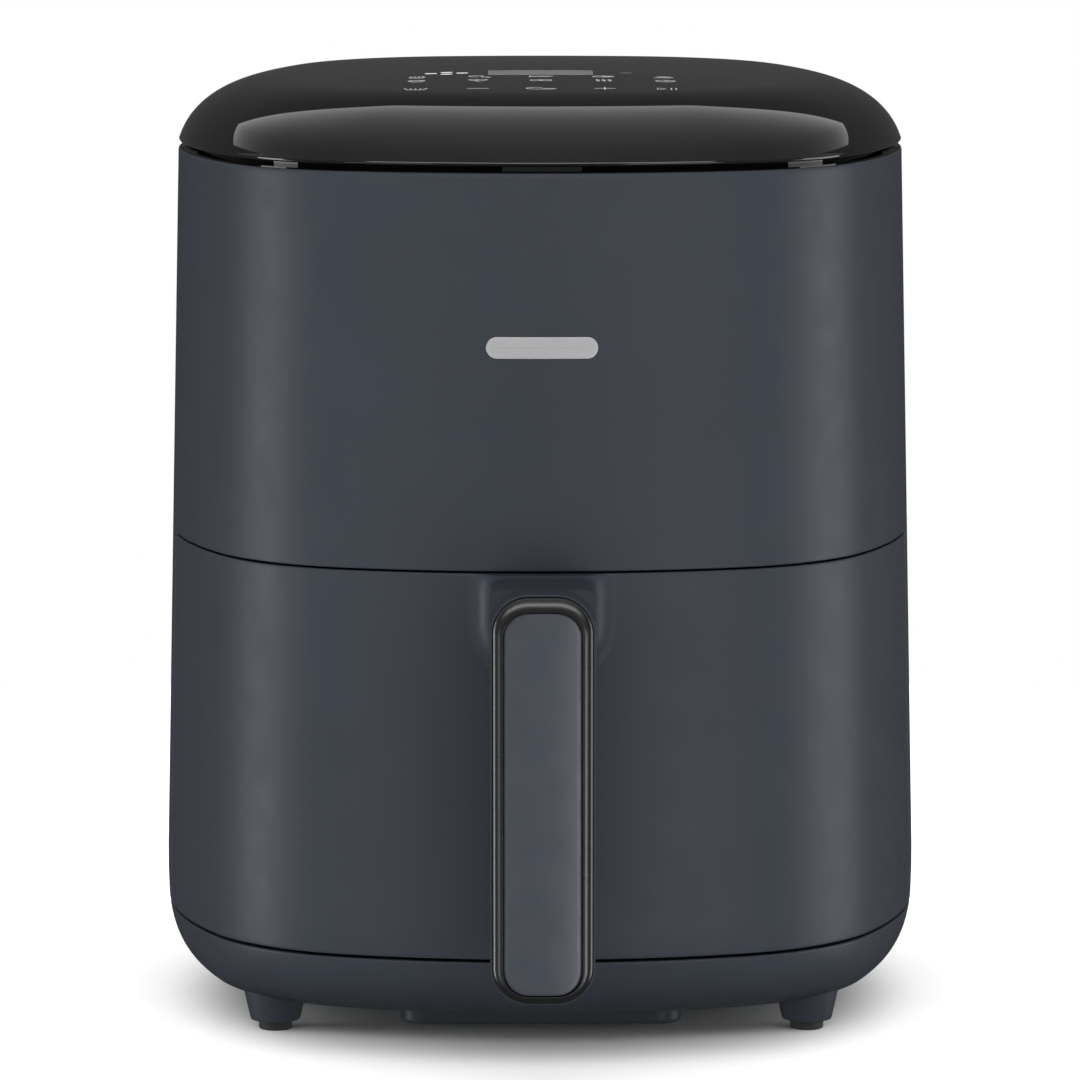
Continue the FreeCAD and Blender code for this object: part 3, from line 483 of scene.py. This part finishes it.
def dress_cad_nodes():
    """Gives every carried-over CAD node the finish of its material slot."""
    for entry in frame["record"]["subparts"]:
        obj = frame["nodes"][entry["node"]]
        obj.data.materials.clear()
        obj.data.materials.append(MATERIALS[entry["material_slot"]])


# === housing and base ===================================================================================
def wall_rows(low, high):
    """Heights up a wall, about 9 mm apart, and closer together near its two edges."""
    edge = 1.5
    count = max(4, round((high - low) / 9))
    middle = [low + edge + (high - low - 2 * edge) * i / count for i in range(count + 1)]
    return [low] + middle + [high]


def housing():
    """Upper walls all round with the ledge under the collar, and lower walls behind the drawer."""
    gap = SEAM_GAP / 2
    split = WRAP_Y + gap
    shape = Shape()
    walls = wall_rows(SEAM_MID + gap, BODY_TOP - RIM_RADIUS)
    upper = [level(outline(body_size(z), split), z) for z in walls]
    for turn in (30, 60, 90):
        a = math.radians(turn)
        rim = outline(body_size(BODY_TOP, RIM_RADIUS - RIM_RADIUS * math.cos(a)), split)
        upper.append(level(rim, BODY_TOP - RIM_RADIUS + RIM_RADIUS * math.sin(a)))
    upper += [level(outline(body_size(BODY_TOP, inset), split), BODY_TOP) for inset in LEDGE_INSETS]
    shape.rings(upper)
    n = len(upper[0])
    lower = []
    for z in wall_rows(LOWER_WALL_BOTTOM, SEAM_MID + gap):
        ring = level(outline(body_size(z), split), z)
        lower.append(ring[SPLIT_INDEX:n - SPLIT_INDEX + 1])
    shape.rings(lower, closed=False)
    obj = piece("housing_skin", shape, MATERIALS["body_plastic"], "housing", ["outer_housing"],
                merge=True)
    thicken(obj, WALL)
    settle(obj)
    cut_away(obj, rear_cutters())
    return obj


def rear_cutters():
    """Closed forms for the vent slots, the grille's opening and the cord bush's hole."""
    sections = []
    for i in range(VENT_COUNT):
        low = VENT_LOW + VENT_PITCH * i
        sections.append(rounded_rectangle(VENT_HALF_WIDTH, low, low + VENT_HEIGHT, VENT_CORNER, 6))
    sections.append(rounded_rectangle(*GRILLE_CUT, 6))
    turn = [i * math.pi / 16 for i in range(32)]
    sections.append([(BUSH_RADIUS * math.cos(a), BUSH_Z + BUSH_RADIUS * math.sin(a)) for a in turn])
    shape = Shape()
    for section in sections:
        shape.rings([upright(section, CUT_FROM), upright(section, CUT_TO)], "fan", "fan")
    return shape


def base():
    """The bowl with a closed deck, chamber posts and four foot cones."""
    bowl_high = DECK_TOP - 1.0
    down = (BOWL_BOTTOM + BOWL_RISE - bowl_high) / BOWL_RISE
    start = math.asin(down ** (BOWL_POWER / 2)) / (math.pi / 2)
    rings = []
    steps = 25
    for i in range(steps + 1):
        tuck, up = quarter(1 - (1 - start) * i / steps, BOWL_POWER)
        z = BOWL_BOTTOM + BOWL_RISE * (1 - up)
        rings.append(level(outline(shrink(BODY_SIZE, 0, BOWL_TUCK, tuck)), z))
    for turn in (0, 30, 60, 90):
        a = math.radians(turn)
        z = DECK_TOP - DECK_RADIUS + DECK_RADIUS * math.sin(a)
        rings.append(level(outline(body_size(z, DECK_RADIUS - DECK_RADIUS * math.cos(a))), z))
    rings.append(level(outline(body_size(DECK_TOP, 3.0)), DECK_TOP))
    shape = Shape()
    shape.rings(rings, "fan", "fan")
    for x in (-FOOT_X, FOOT_X):
        for y in (-FOOT_Y, FOOT_Y):
            turned(shape, x, y, FOOT_PROFILE)
    for x in (-POST_X, POST_X):
        for y in (-POST_Y, POST_Y):
            turned(shape, x, y, [(POST_RADIUS, DECK_TOP - 0.5), (POST_RADIUS, POST_TOP), (0.1, POST_TOP)])
    return piece("base_bowl", shape, MATERIALS["body_plastic"], "housing", ["base_shell"])


def turned(shape, x, y, profile, steps=40):
    """A turned form about an upright axis, from (radius, z) pairs."""
    rings = []
    for radius, z in profile:
        turn = [2 * math.pi * i / steps for i in range(steps)]
        rings.append([(x + radius * math.cos(a), y + radius * math.sin(a), z) for a in turn])
    shape.rings(rings, "fan", "fan")


# === lid ================================================================================================
CROWN_STEPS, SHOULDER_STEPS = 18, 60


def lid_rings(inset, drop, edge_low):
    """Rings from the crown's middle out over the shoulder and down to a height."""
    rings = []
    for i in range(CROWN_STEPS):
        k = 0.03 + 0.97 * i / CROWN_STEPS
        size = [k * s for s in shrink(LID_SIZE, inset, LID_TUCK, 1.0)]
        z = LID_Z0 + LID_RISE - LID_CROWN * k ** LID_CROWN_POWER - drop
        rings.append(level(outline(size, split=WRAP_Y * k), z))
    for i in range(SHOULDER_STEPS + 1):
        tuck, up = quarter(1 - 0.99 * i / SHOULDER_STEPS, LID_POWER)
        crown = LID_CROWN * (1 + LID_SHOULDER * (1 - tuck)) ** LID_CROWN_POWER * up
        z = LID_Z0 + LID_RISE * up - crown - drop
        if z < edge_low:
            break
        rings.append(level(outline(shrink(LID_SIZE, inset, LID_TUCK, tuck)), z))
    return rings, tuck


def lid():
    """The domed touch lid: outer skin, rounded lower edge and inner skin."""
    rings, tuck = lid_rings(0.0, 0.0, LID_EDGE + LID_EDGE_RADIUS)
    inner = lid_rings(LID_WALL, LID_WALL, LID_EDGE + LID_EDGE_RADIUS + 0.5)[0]
    for inset, rise in LID_LIP:
        rings.append(level(outline(shrink(LID_SIZE, inset, LID_TUCK, tuck)), LID_EDGE + rise))
    shape = Shape()
    shape.rings(rings + inner[::-1], "fan", "fan")
    return piece("lid_dome", shape, MATERIALS["gloss_black"], "housing", ["top_lid"],
                 sharp=60.0)


def collar():
    """The dark ring under the lid, with its thin flange over the housing's ledge."""
    low = BODY_TOP + FLANGE
    flange = outline(body_size(BODY_TOP, FLANGE_INSET))
    rings = [level(flange, BODY_TOP), level(flange, low)]
    for inset, z in ((0.0, low), (0.0, COLLAR_TOP - COLLAR_EDGE), (COLLAR_EDGE, COLLAR_TOP),
                     (COLLAR_WALL - COLLAR_EDGE, COLLAR_TOP), (COLLAR_WALL, COLLAR_TOP - COLLAR_EDGE),
                     (COLLAR_WALL, BODY_TOP)):
        rings.append(level(outline(shrink(COLLAR_SIZE, inset)), z))
    shape = Shape()
    shape.rings(rings, looped=True)
    return piece("collar_ring", shape, MATERIALS["collar_black"], "housing", ["lid_collar"])


class Surface:
    """Finds the height of the lid's top at any place, so that print and windows follow it."""

    def __init__(self, obj):
        self.tree = BVHTree.FromPolygons(
            [v.co for v in obj.data.vertices], [list(p.vertices) for p in obj.data.polygons])

    def height(self, x, y):
        start = Vector(place(x, y, 400.0))
        return self.tree.ray_cast(start, Vector((0, 0, -1)))[0].z / MM


def pane(shape, surface, x0, x1, y0, y1, radius, low, high, steps=14):
    """A thin plate that follows the lid, from one lift above it to another."""
    half_x, half_y = (x1 - x0) / 2, (y1 - y0) / 2
    cx, cy = (x0 + x1) / 2, (y0 + y1) / 2

    def ring(inset, lift):
        points = rounded_rectangle(half_x - inset, cy - half_y + inset, cy + half_y - inset,
                                   max(0.05, radius - inset), 5, 8)
        return [(cx + x, y, surface.height(cx + x, y) + lift) for x, y in points]

    edge = 0.04
    rings = [ring(0.0, low), ring(0.0, high - edge / 2), ring(edge, high)]
    inner = min(half_x, half_y) - 0.05
    rings += [ring(edge + (inner - edge) * (i / steps), high) for i in range(1, steps)]
    shape.rings(rings, last="fan")


def display(surface):
    shape = Shape()
    pane(shape, surface, *WINDOW, WINDOW_CORNER, -0.2, 0.05)
    return piece("display_pane", shape, MATERIALS["display_glass"], "housing", ["display_window"])


def lamps(surface):
    """Four small petals left of the display."""
    shape = Shape()
    for x, y in LAMP_PLACES:
        pane(shape, surface, x - LAMP_HALF_LENGTH, x + LAMP_HALF_LENGTH,
             y - LAMP_HALF_WIDTH, y + LAMP_HALF_WIDTH, LAMP_CORNER, -0.2, 0.06, 4)
    return piece("running_lamps", shape, MATERIALS["white_lens"], "housing", ["status_lamps"])


# --- printed symbols: polylines in a unit square, drawn as thin raised ribbons --------------------------
def arc_line(cx, cy, radius, start, end, steps=14, squash=1.0):
    turn = [math.radians(start + (end - start) * i / steps) for i in range(steps + 1)]
    return [(cx + radius * math.cos(a), cy + radius * squash * math.sin(a)) for a in turn]


def symbols():
    """Generic pictograms: food kinds in the two rear rows, controls in the front row."""
    chips = [[(-0.7, 0.1), (-0.5, -0.9), (0.5, -0.9), (0.7, 0.1), (-0.7, 0.1)]]
    chips += [[(x, 0.1), (x * 1.2, 0.9)] for x in (-0.45, -0.15, 0.15, 0.45)]
    drumstick = [arc_line(-0.2, 0.2, 0.6, -20, 290), [(0.2, -0.25), (0.8, -0.8)],
                 arc_line(0.85, -0.85, 0.15, 0, 360)]
    fish = [arc_line(0.1, -0.75, 1.1, 35, 130), arc_line(0.1, 0.75, 1.1, -35, -130),
            [(-0.62, 0.1), (-1.0, 0.5), (-0.9, 0.0), (-1.0, -0.5), (-0.62, -0.1)]]
    steak = [arc_line(0, 0, 0.9, 0, 360, 24, 0.65), arc_line(0.25, 0.1, 0.3, 0, 360)]
    muffin = [[(-0.55, 0.0), (-0.4, -0.85), (0.4, -0.85), (0.55, 0.0)], arc_line(0, 0.05, 0.7, 0, 180),
              [(-0.7, 0.02), (0.7, 0.02)]]
    wedge = [[(-0.8, 0.5), (0.0, -0.95), (0.8, 0.5)], arc_line(0, -0.3, 1.15, 45, 135),
             arc_line(-0.1, 0.1, 0.14, 0, 360)]
    leaf = [arc_line(-0.5, -0.5, 1.2, 5, 85), arc_line(0.6, 0.6, 1.2, 185, 265), [(-0.9, -0.9), (0.5, 0.5)]]
    rings = [arc_line(-0.4, 0, 0.5, 0, 360), arc_line(0.4, 0, 0.5, 0, 360)]
    heat = [[(x + 0.14 * math.sin(t * 1.2), -0.8 + 0.16 * t) for t in range(11)] for x in (-0.5, 0.0, 0.5)]
    clock = [arc_line(0, 0, 0.8, 0, 360, 24), [(0, 0.5), (0, 0), (0.35, 0)]]
    basket = [[(-0.95, 0.55), (-0.65, -0.75), (0.65, -0.75), (0.95, 0.55)],
              [(-0.35, -0.4), (-0.45, 0.3)], [(0.0, -0.4), (0.0, 0.3)], [(0.35, -0.4), (0.45, 0.3)]]
    minus = [[(-0.9, 0), (0.9, 0)]]
    plus = minus + [[(0, -0.9), (0, 0.9)]]
    pan = [arc_line(-0.35, 0, 0.9, 60, 300, 20, 0.75), [(0.2, -0.6), (1.1, -0.6)]]
    pan += [arc_line(x, -0.3, 0.16, 0, 180) + [(x - 0.16, -0.6)] for x in (0.35, 0.7, 1.05)]
    start_stop = [[(-0.8, 0.6), (-0.8, -0.6), (-0.1, 0.0), (-0.8, 0.6)], [(0.35, 0.6), (0.35, -0.6)],
                  [(0.75, 0.6), (0.75, -0.6)]]
    return {
        -47.0: (chips, drumstick, fish, steak, leaf),
        -62.0: (muffin, wedge, rings, heat, clock),
        -90.0: (basket, minus, pan, plus, start_stop),
    }


COLUMNS = (-43.2, -21.8, 0.0, 21.8, 43.2)
SYMBOL_HALF, SYMBOL_LINE, INK_LOW, INK_HEIGHT = 4.1, 0.38, 0.01, 0.05
SIGNAL_PLACE, SIGNAL_LINE, SIGNAL_HEIGHT = (30.0, -33.0), 0.35, 0.04


def ribbon(shape, surface, line, width, low, high):
    """A raised line of even width along a polyline of (x, y) places."""
    count = len(line)
    shut = count > 3 and math.dist(line[0], line[-1]) < 0.01
    left, right = [], []
    for i, (x, y) in enumerate(line):
        before = line[i - 1] if i else (line[-2] if shut else line[0])
        after = line[i + 1] if i < count - 1 else (line[1] if shut else line[-1])
        dx, dy = after[0] - before[0], after[1] - before[1]
        length = math.hypot(dx, dy) or 1.0
        nx, ny = -dy / length * width / 2, dx / length * width / 2
        left.append((x + nx, y + ny))
        right.append((x - nx, y - ny))

    def lifted(points, lift):
        return [(x, y, surface.height(x, y) + lift) for x, y in points]

    rings = [lifted(left, low), lifted(left, high), lifted(right, high), lifted(right, low)]
    n = len(left)
    points = [p for ring in rings for p in ring]
    faces = []
    for a in range(4):
        b = (a + 1) % 4
        faces += [[a * n + j, a * n + j + 1, b * n + j + 1, b * n + j] for j in range(n - 1)]
    faces += [[0, n, 2 * n, 3 * n], [4 * n - 1, 3 * n - 1, 2 * n - 1, n - 1]]
    shape.add(points, faces)


def panel_print(surface):
    """The symbols in their rows, and a faint signal mark beside the display."""
    for y, row in symbols().items():
        for column, (x, lines) in enumerate(zip(COLUMNS, row), 1):
            shape = Shape()
            for line in lines:
                spots = [(x + SYMBOL_HALF * u, y + SYMBOL_HALF * v) for u, v in line]
                ribbon(shape, surface, spots, SYMBOL_LINE, INK_LOW, INK_HEIGHT)
            piece(f"symbol_{column}_{int(-y)}", shape, GLOWING_INK, "housing")
    shape = Shape()
    for i in range(3):
        line = arc_line(*SIGNAL_PLACE, 1.4 + 1.2 * i, 50, 130, 8)
        ribbon(shape, surface, line, SIGNAL_LINE, INK_LOW, SIGNAL_HEIGHT)
    piece("symbol_signal", shape, printed("faint_ink", (0.2, 0.2, 0.2)), "housing")


# === drawer front and handle ============================================================================
def drawer_front():
    """The wrap-round wall that moves with the drawer."""
    gap = SEAM_GAP / 2
    split = WRAP_Y - gap
    low, high = LOWER_WALL_BOTTOM, SEAM_MID - gap
    rows = []
    for z in wall_rows(low, high):
        ring = outline(body_size(z), split)
        n = len(ring)
        strip = ring[n - SPLIT_INDEX:] + ring[:SPLIT_INDEX + 1]
        rows.append(level(strip, z))
    shape = Shape()
    shape.rings(rows, closed=False)
    obj = piece("drawer_skin", shape, MATERIALS["body_plastic"], "drawer", ["drawer_front"])
    thicken(obj, WALL)
    settle(obj)
    return obj


def neck_section(swell):
    return rounded_rectangle(
        GRIP_HALF_WIDTH + swell, NECK_BOTTOM - swell, GRIP_HIGH + swell, GRIP_CORNER + swell, 14,
        top_radius=NECK_TOP_CORNER + swell)


def neck():
    """The bridge to the grip, flaring smoothly out of the drawer front and cut level under the seam."""
    top = SEAM_MID - SEAM_GAP / 2 - 0.1
    rings = []
    steps, sunk = 16, -1.2
    for i in range(-1, steps + 1):
        turn = math.radians(90 * max(0, i) / steps)
        swell = NECK_FLARE * (1 - math.sin(turn))
        away = NECK_FLARE * (1 - math.cos(turn)) if i >= 0 else sunk
        section = neck_section(swell)
        rings.append([(x, front_y(x, z) - away, min(z, top)) for x, z in section])
    section = neck_section(0.0)
    root = rings[-1]
    end = GRIP_REAR - GRIP_RADIUS
    reach_steps = 8
    for i in range(1, reach_steps + 1):
        share = i / reach_steps
        rings.append([(x, p[1] + (end - p[1]) * share, z) for (x, z), p in zip(section, root)])
    shape = Shape()
    shape.rings(rings, last="fan")
    return piece("handle_bridge", shape, MATERIALS["body_plastic"], "drawer",
                 sharp=60.0)


def grip_outline(inset, steps=14):
    return rounded_rectangle(
        GRIP_HALF_WIDTH - inset, GRIP_LOW + inset, GRIP_HIGH - inset, GRIP_CORNER - inset, steps)


def grip_shell():
    """The tray behind the trim: a thin front lip round a pocket, and a rounded finger side."""
    rings = [upright(grip_outline(0.8), GRIP_FRONT + 6.0), upright(grip_outline(0.8), GRIP_FRONT + 0.2)]
    rings += [upright(grip_outline(inset), y) for inset, y in
              ((0.7, GRIP_FRONT + 0.05), (0.55, GRIP_FRONT), (0.3, GRIP_FRONT), (0.1, GRIP_FRONT + 0.1),
               (0.0, GRIP_FRONT + 0.4), (0.0, GRIP_FRONT + 2.0), (0.0, GRIP_REAR - 6.0))]
    for turn in range(0, 91, 9):
        a = math.radians(turn)
        rings.append(upright(grip_outline(GRIP_RADIUS * (1 - math.cos(a))),
                             GRIP_REAR - GRIP_RADIUS + GRIP_RADIUS * math.sin(a)))
    rings.append(upright(grip_outline(1.5 * GRIP_RADIUS), GRIP_REAR))
    shape = Shape()
    shape.rings(rings, "fan", "fan")
    return piece("grip_tray", shape, MATERIALS["body_plastic"], "drawer", ["handle_shell"])


def inlay_outline(inset, runs=4):
    return rounded_rectangle(INLAY_HALF_WIDTH - inset, INLAY_LOW + inset, INLAY_HIGH - inset,
                             max(0.3, INLAY_CORNER - inset), 14, runs)


def grip_ring():
    """The glossy trim: its face falls away roundly towards the outer edge."""
    outer = grip_outline(RING_INSET)
    inner = inlay_outline(-INLAY_GAP, runs=1)
    low = GRIP_FRONT + RING_DEPTH
    width = GRIP_HALF_WIDTH - RING_INSET - INLAY_HALF_WIDTH - INLAY_GAP
    crest, edge_turn, steps = 0.95, 52, 12
    radius = crest * width / math.sin(math.radians(edge_turn))
    profile = [(0.0, low)]
    for i in range(steps + 1):
        a = math.radians(edge_turn * (1 - i / steps))
        share = crest * (1 - math.sin(a) / math.sin(math.radians(edge_turn)))
        profile.append((share, RING_FRONT + radius * (1 - math.cos(a))))
    for turn in range(15, 91, 15):
        a = math.radians(turn)
        profile.append((crest + (1 - crest) * math.sin(a), RING_FRONT + 0.2 * (1 - math.cos(a))))
    profile += [(1.0, RING_FRONT + 1.4), (1.0, low)]
    rings = []
    for share, y in profile:
        rings.append([
            (a[0] + (b[0] - a[0]) * share, y, a[1] + (b[1] - a[1]) * share) for a, b in zip(outer, inner)])
    shape = Shape()
    shape.rings(rings, looped=True)
    return piece(
        "grip_trim", shape, MATERIALS["trim_black"], "drawer", ["handle_frame"], sharp=60.0)


def grip_inlay():
    """The satin panel in the trim, crowned from side to side."""
    front = RING_FRONT + INLAY_SET_BACK
    rings = [upright(inlay_outline(0.0), GRIP_FRONT + RING_DEPTH)]
    edge = [(0.0, 0.5), (0.08, 0.2), (0.25, 0.05)]
    for inset, fall in edge + [(inset, 0.0) for inset in (0.5, 2.0, 4.0, 6.0, 8.0, 9.5, 11.0, 12.6)]:
        rings.append([(x, front + fall - INLAY_CROWN * (1 - (x / INLAY_HALF_WIDTH) ** 2), z)
                      for x, z in inlay_outline(inset)])
    shape = Shape()
    shape.rings(rings, "fan")
    close_strip(shape, rings)
    return piece("grip_panel", shape, MATERIALS["handle_inlay"], "drawer", ["handle_inlay"])


def close_strip(shape, rings):
    """Closes the last, very narrow ring with quads from side to side."""
    n = len(rings[0])
    start = (len(rings) - 1) * n
    for i in range(1, n // 2):
        shape.faces.append([start + i - 1, start + i, start + n - i - 1, start + n - i])


def badge():
    """A plain satin pill on the front, following its curve."""
    rings = []
    edge = [(0.0, -0.3), (0.0, 0.2), (0.1, 0.34)]
    for inset, lift in edge + [(inset, 0.4) for inset in (0.3, 1.0, 2.0, 3.68)]:
        half_height = BADGE_HALF_HEIGHT - inset
        points = rounded_rectangle(BADGE_HALF_LENGTH - inset, BADGE_Z - half_height, BADGE_Z + half_height,
                                   half_height - 0.01, 10, 16)
        rings.append([(x, front_y(x, z) - lift, z) for x, z in points])
    shape = Shape()
    shape.rings(rings)
    close_strip(shape, rings)
    return piece("front_badge", shape, MATERIALS["badge_metal"], "housing", ["badge"])


# === stage ==============================================================================================
FLOOR_RADIUS = 0.8
PAPER_DARK, PAPER_LIGHT = (0.86, 0.86, 0.86), (0.88, 0.88, 0.88)
CAMERA_BACK, CAMERA_HEIGHT = 2.630, 0.4971
CAMERA_PITCH, CAMERA_YAW = 7.24, -0.3
GLOW, ROOM = 1.18, 0.07
LENS_MM = 246.67


def floor():
    """A round of pale paper, just large enough for the drawer's shadow when it is open."""
    steps = 96
    points = [(0.0, 0.0, 0.0)]
    for i in range(steps):
        a = 2 * math.pi * i / steps
        points.append((FLOOR_RADIUS * math.cos(a), FLOOR_RADIUS * math.sin(a), 0.0))
    mesh = bpy.data.meshes.new("floor")
    mesh.from_pydata(points, [], [(0, i + 1, (i + 1) % steps + 1) for i in range(steps)])
    obj = bpy.data.objects.new("floor", mesh)
    bpy.context.scene.collection.objects.link(obj)
    material, tree, shader, where = base_material("floor_paper")
    tone = noise(tree, where, 3.0, 2.0)
    tree.links.new(blend_colours(tree, tone, PAPER_DARK, PAPER_LIGHT), shader.inputs["Base Color"])
    shader.inputs["Roughness"].default_value = 0.9
    shader.inputs["Specular IOR Level"].default_value = 0.1
    obj.data.materials.append(material)
    obj.visible_glossy = False
    obj.visible_shadow = False


def softbox(name, place_at, aim_at, width, height, power):
    """A rectangular area light; with nothing to aim at it faces straight down."""
    data = bpy.data.lights.new(name, "AREA")
    data.shape = "RECTANGLE"
    data.size, data.size_y = width, height
    data.energy = power
    obj = bpy.data.objects.new(name, data)
    bpy.context.scene.collection.objects.link(obj)
    obj.location = place_at
    if aim_at:
        obj.rotation_euler = (Vector(aim_at) - Vector(place_at)).to_track_quat("-Z", "Y").to_euler()
    obj.visible_camera = False
    return obj


TOP_HEIGHT, TOP_WIDTH, TOP_DEPTH, TOP_REAR = 1.85, 8.0, 6.5, 3.2
TOP_EDGE_MIDDLE = 1.08       # where the lit part ends at the rear in the middle; at the sides it's TOP_REAR
TOP_EDGE_SPAN = 0.52         # share of the half width over which the rear edge swings back
TOP_REAR_POWER, TOP_FRONT_POWER, TOP_FALL = 1.9, 0.24, 3.3
LIGHTS_AIM = 0.17
SIDE_DISTANCE = 1.5
SIDE_BOXES = {               # turn from the front in degrees, height, width, length, watts
    "left_box": (-84, 0.0, 0.5, 1.2, 10.5),
    "right_box": (92, 0.0, 0.8, 1.2, 10.5),
    "low_right_box": (26, -0.22, 0.5, 0.5, 3.4),
    "low_left_box": (-30, -0.22, 0.5, 0.5, 1.6),
    "front_box": (0, 0.9, 2.0, 0.35, 10),
}


def calculate(tree, operation, first, second):
    """A math node on a socket and a number, or on two sockets."""
    made = tree.nodes.new("ShaderNodeMath")
    made.operation = operation
    for socket, value in zip(made.inputs, (first, second)):
        if isinstance(value, (int, float)):
            socket.default_value = value
        else:
            tree.links.new(value, socket)
    return made.outputs[0]


def fade(light, rear, front, power):
    """Shapes an overhead softbox: a curved rear edge, falling off forwards and a little to the sides."""
    light.data.use_nodes = True
    tree = light.data.node_tree
    place_on = tree.nodes.new("ShaderNodeNewGeometry").outputs["Parametric"]
    parts = tree.nodes.new("ShaderNodeSeparateXYZ")
    tree.links.new(place_on, parts.inputs["Vector"])
    aside = calculate(tree, "ABSOLUTE", calculate(tree, "SUBTRACT", parts.outputs["X"], 0.5), 0)
    swing = calculate(tree, "POWER", calculate(tree, "DIVIDE", aside, TOP_EDGE_SPAN / 2), 2.0)
    nearest = 1 - (TOP_REAR - TOP_EDGE_MIDDLE) / TOP_DEPTH
    edge = spread(tree, swing, nearest, 1.0, 0.0, 1.0)
    along = calculate(tree, "DIVIDE", parts.outputs["Y"], edge)
    strength = spread(tree, calculate(tree, "POWER", along, power), front, rear, 0.0, 1.0)
    lit = calculate(tree, "MULTIPLY", strength, spread(tree, along, 1.0, 0.0, 0.985, 1.0))
    total = calculate(tree, "MULTIPLY", lit, spread(tree, aside, 1.0, 0.62, 0.08, 0.3))
    tree.links.new(total, tree.nodes["Emission"].inputs["Strength"])


def overhead():
    """A wide softbox that the lid mirrors."""
    middle = (0, CENTRE_Y + TOP_REAR - TOP_DEPTH / 2, TOP_HEIGHT)
    top = softbox("top_box", middle, None, TOP_WIDTH, TOP_DEPTH, TOP_WIDTH * TOP_DEPTH * math.pi)
    fade(top, TOP_REAR_POWER, TOP_FRONT_POWER, TOP_FALL)


def lights():
    """The overhead box, a tall box on each side for the body's corners, and low ones for the handle."""
    overhead()
    middle = (0, CENTRE_Y, LIGHTS_AIM)
    for name, (turn, z, width, height, power) in SIDE_BOXES.items():
        a = math.radians(turn)
        place_at = (SIDE_DISTANCE * math.sin(a), CENTRE_Y - SIDE_DISTANCE * math.cos(a), z)
        softbox(name, place_at, middle, width, height, power)


def surroundings():
    """White behind the object, an even glow on the floor and body, and a dim room in reflections."""
    world = bpy.data.worlds.new("studio")
    bpy.context.scene.world = world
    world.use_nodes = True
    tree = world.node_tree
    tree.nodes.clear()
    out = tree.nodes.new("ShaderNodeOutputWorld")
    path = tree.nodes.new("ShaderNodeLightPath")
    shader = node(tree, "ShaderNodeBackground", Color=(1, 1, 1, 1), Strength=1.0).outputs["Background"]
    for ray, strength in (("Is Diffuse Ray", GLOW), ("Is Glossy Ray", ROOM)):
        level = node(tree, "ShaderNodeBackground", Color=(1, 1, 1, 1), Strength=strength)
        mix = tree.nodes.new("ShaderNodeMixShader")
        tree.links.new(path.outputs[ray], mix.inputs["Fac"])
        tree.links.new(shader, mix.inputs[1])
        tree.links.new(level.outputs["Background"], mix.inputs[2])
        shader = mix.outputs["Shader"]
    tree.links.new(shader, out.inputs["Surface"])


def camera():
    data = bpy.data.cameras.new("camera")
    data.lens = LENS_MM
    data.sensor_width = 36.0
    data.clip_end = 100.0
    obj = bpy.data.objects.new("camera", data)
    bpy.context.scene.collection.objects.link(obj)
    yaw = math.radians(CAMERA_YAW)
    obj.location = (CAMERA_BACK * math.sin(yaw), CENTRE_Y - CAMERA_BACK * math.cos(yaw), CAMERA_HEIGHT)
    obj.rotation_euler = (math.radians(90 - CAMERA_PITCH), 0, yaw)
    bpy.context.scene.camera = obj


def main():
    scene = bpy.context.scene
    scene.view_settings.view_transform = "Standard"
    camera()
    floor()
    lights()
    surroundings()
    dress_cad_nodes()
    housing()
    base()
    lid_obj = lid()
    surface = Surface(lid_obj)
    collar()
    display(surface)
    lamps(surface)
    panel_print(surface)
    drawer_front()
    neck()
    grip_shell()
    grip_ring()
    grip_inlay()
    badge()


main()
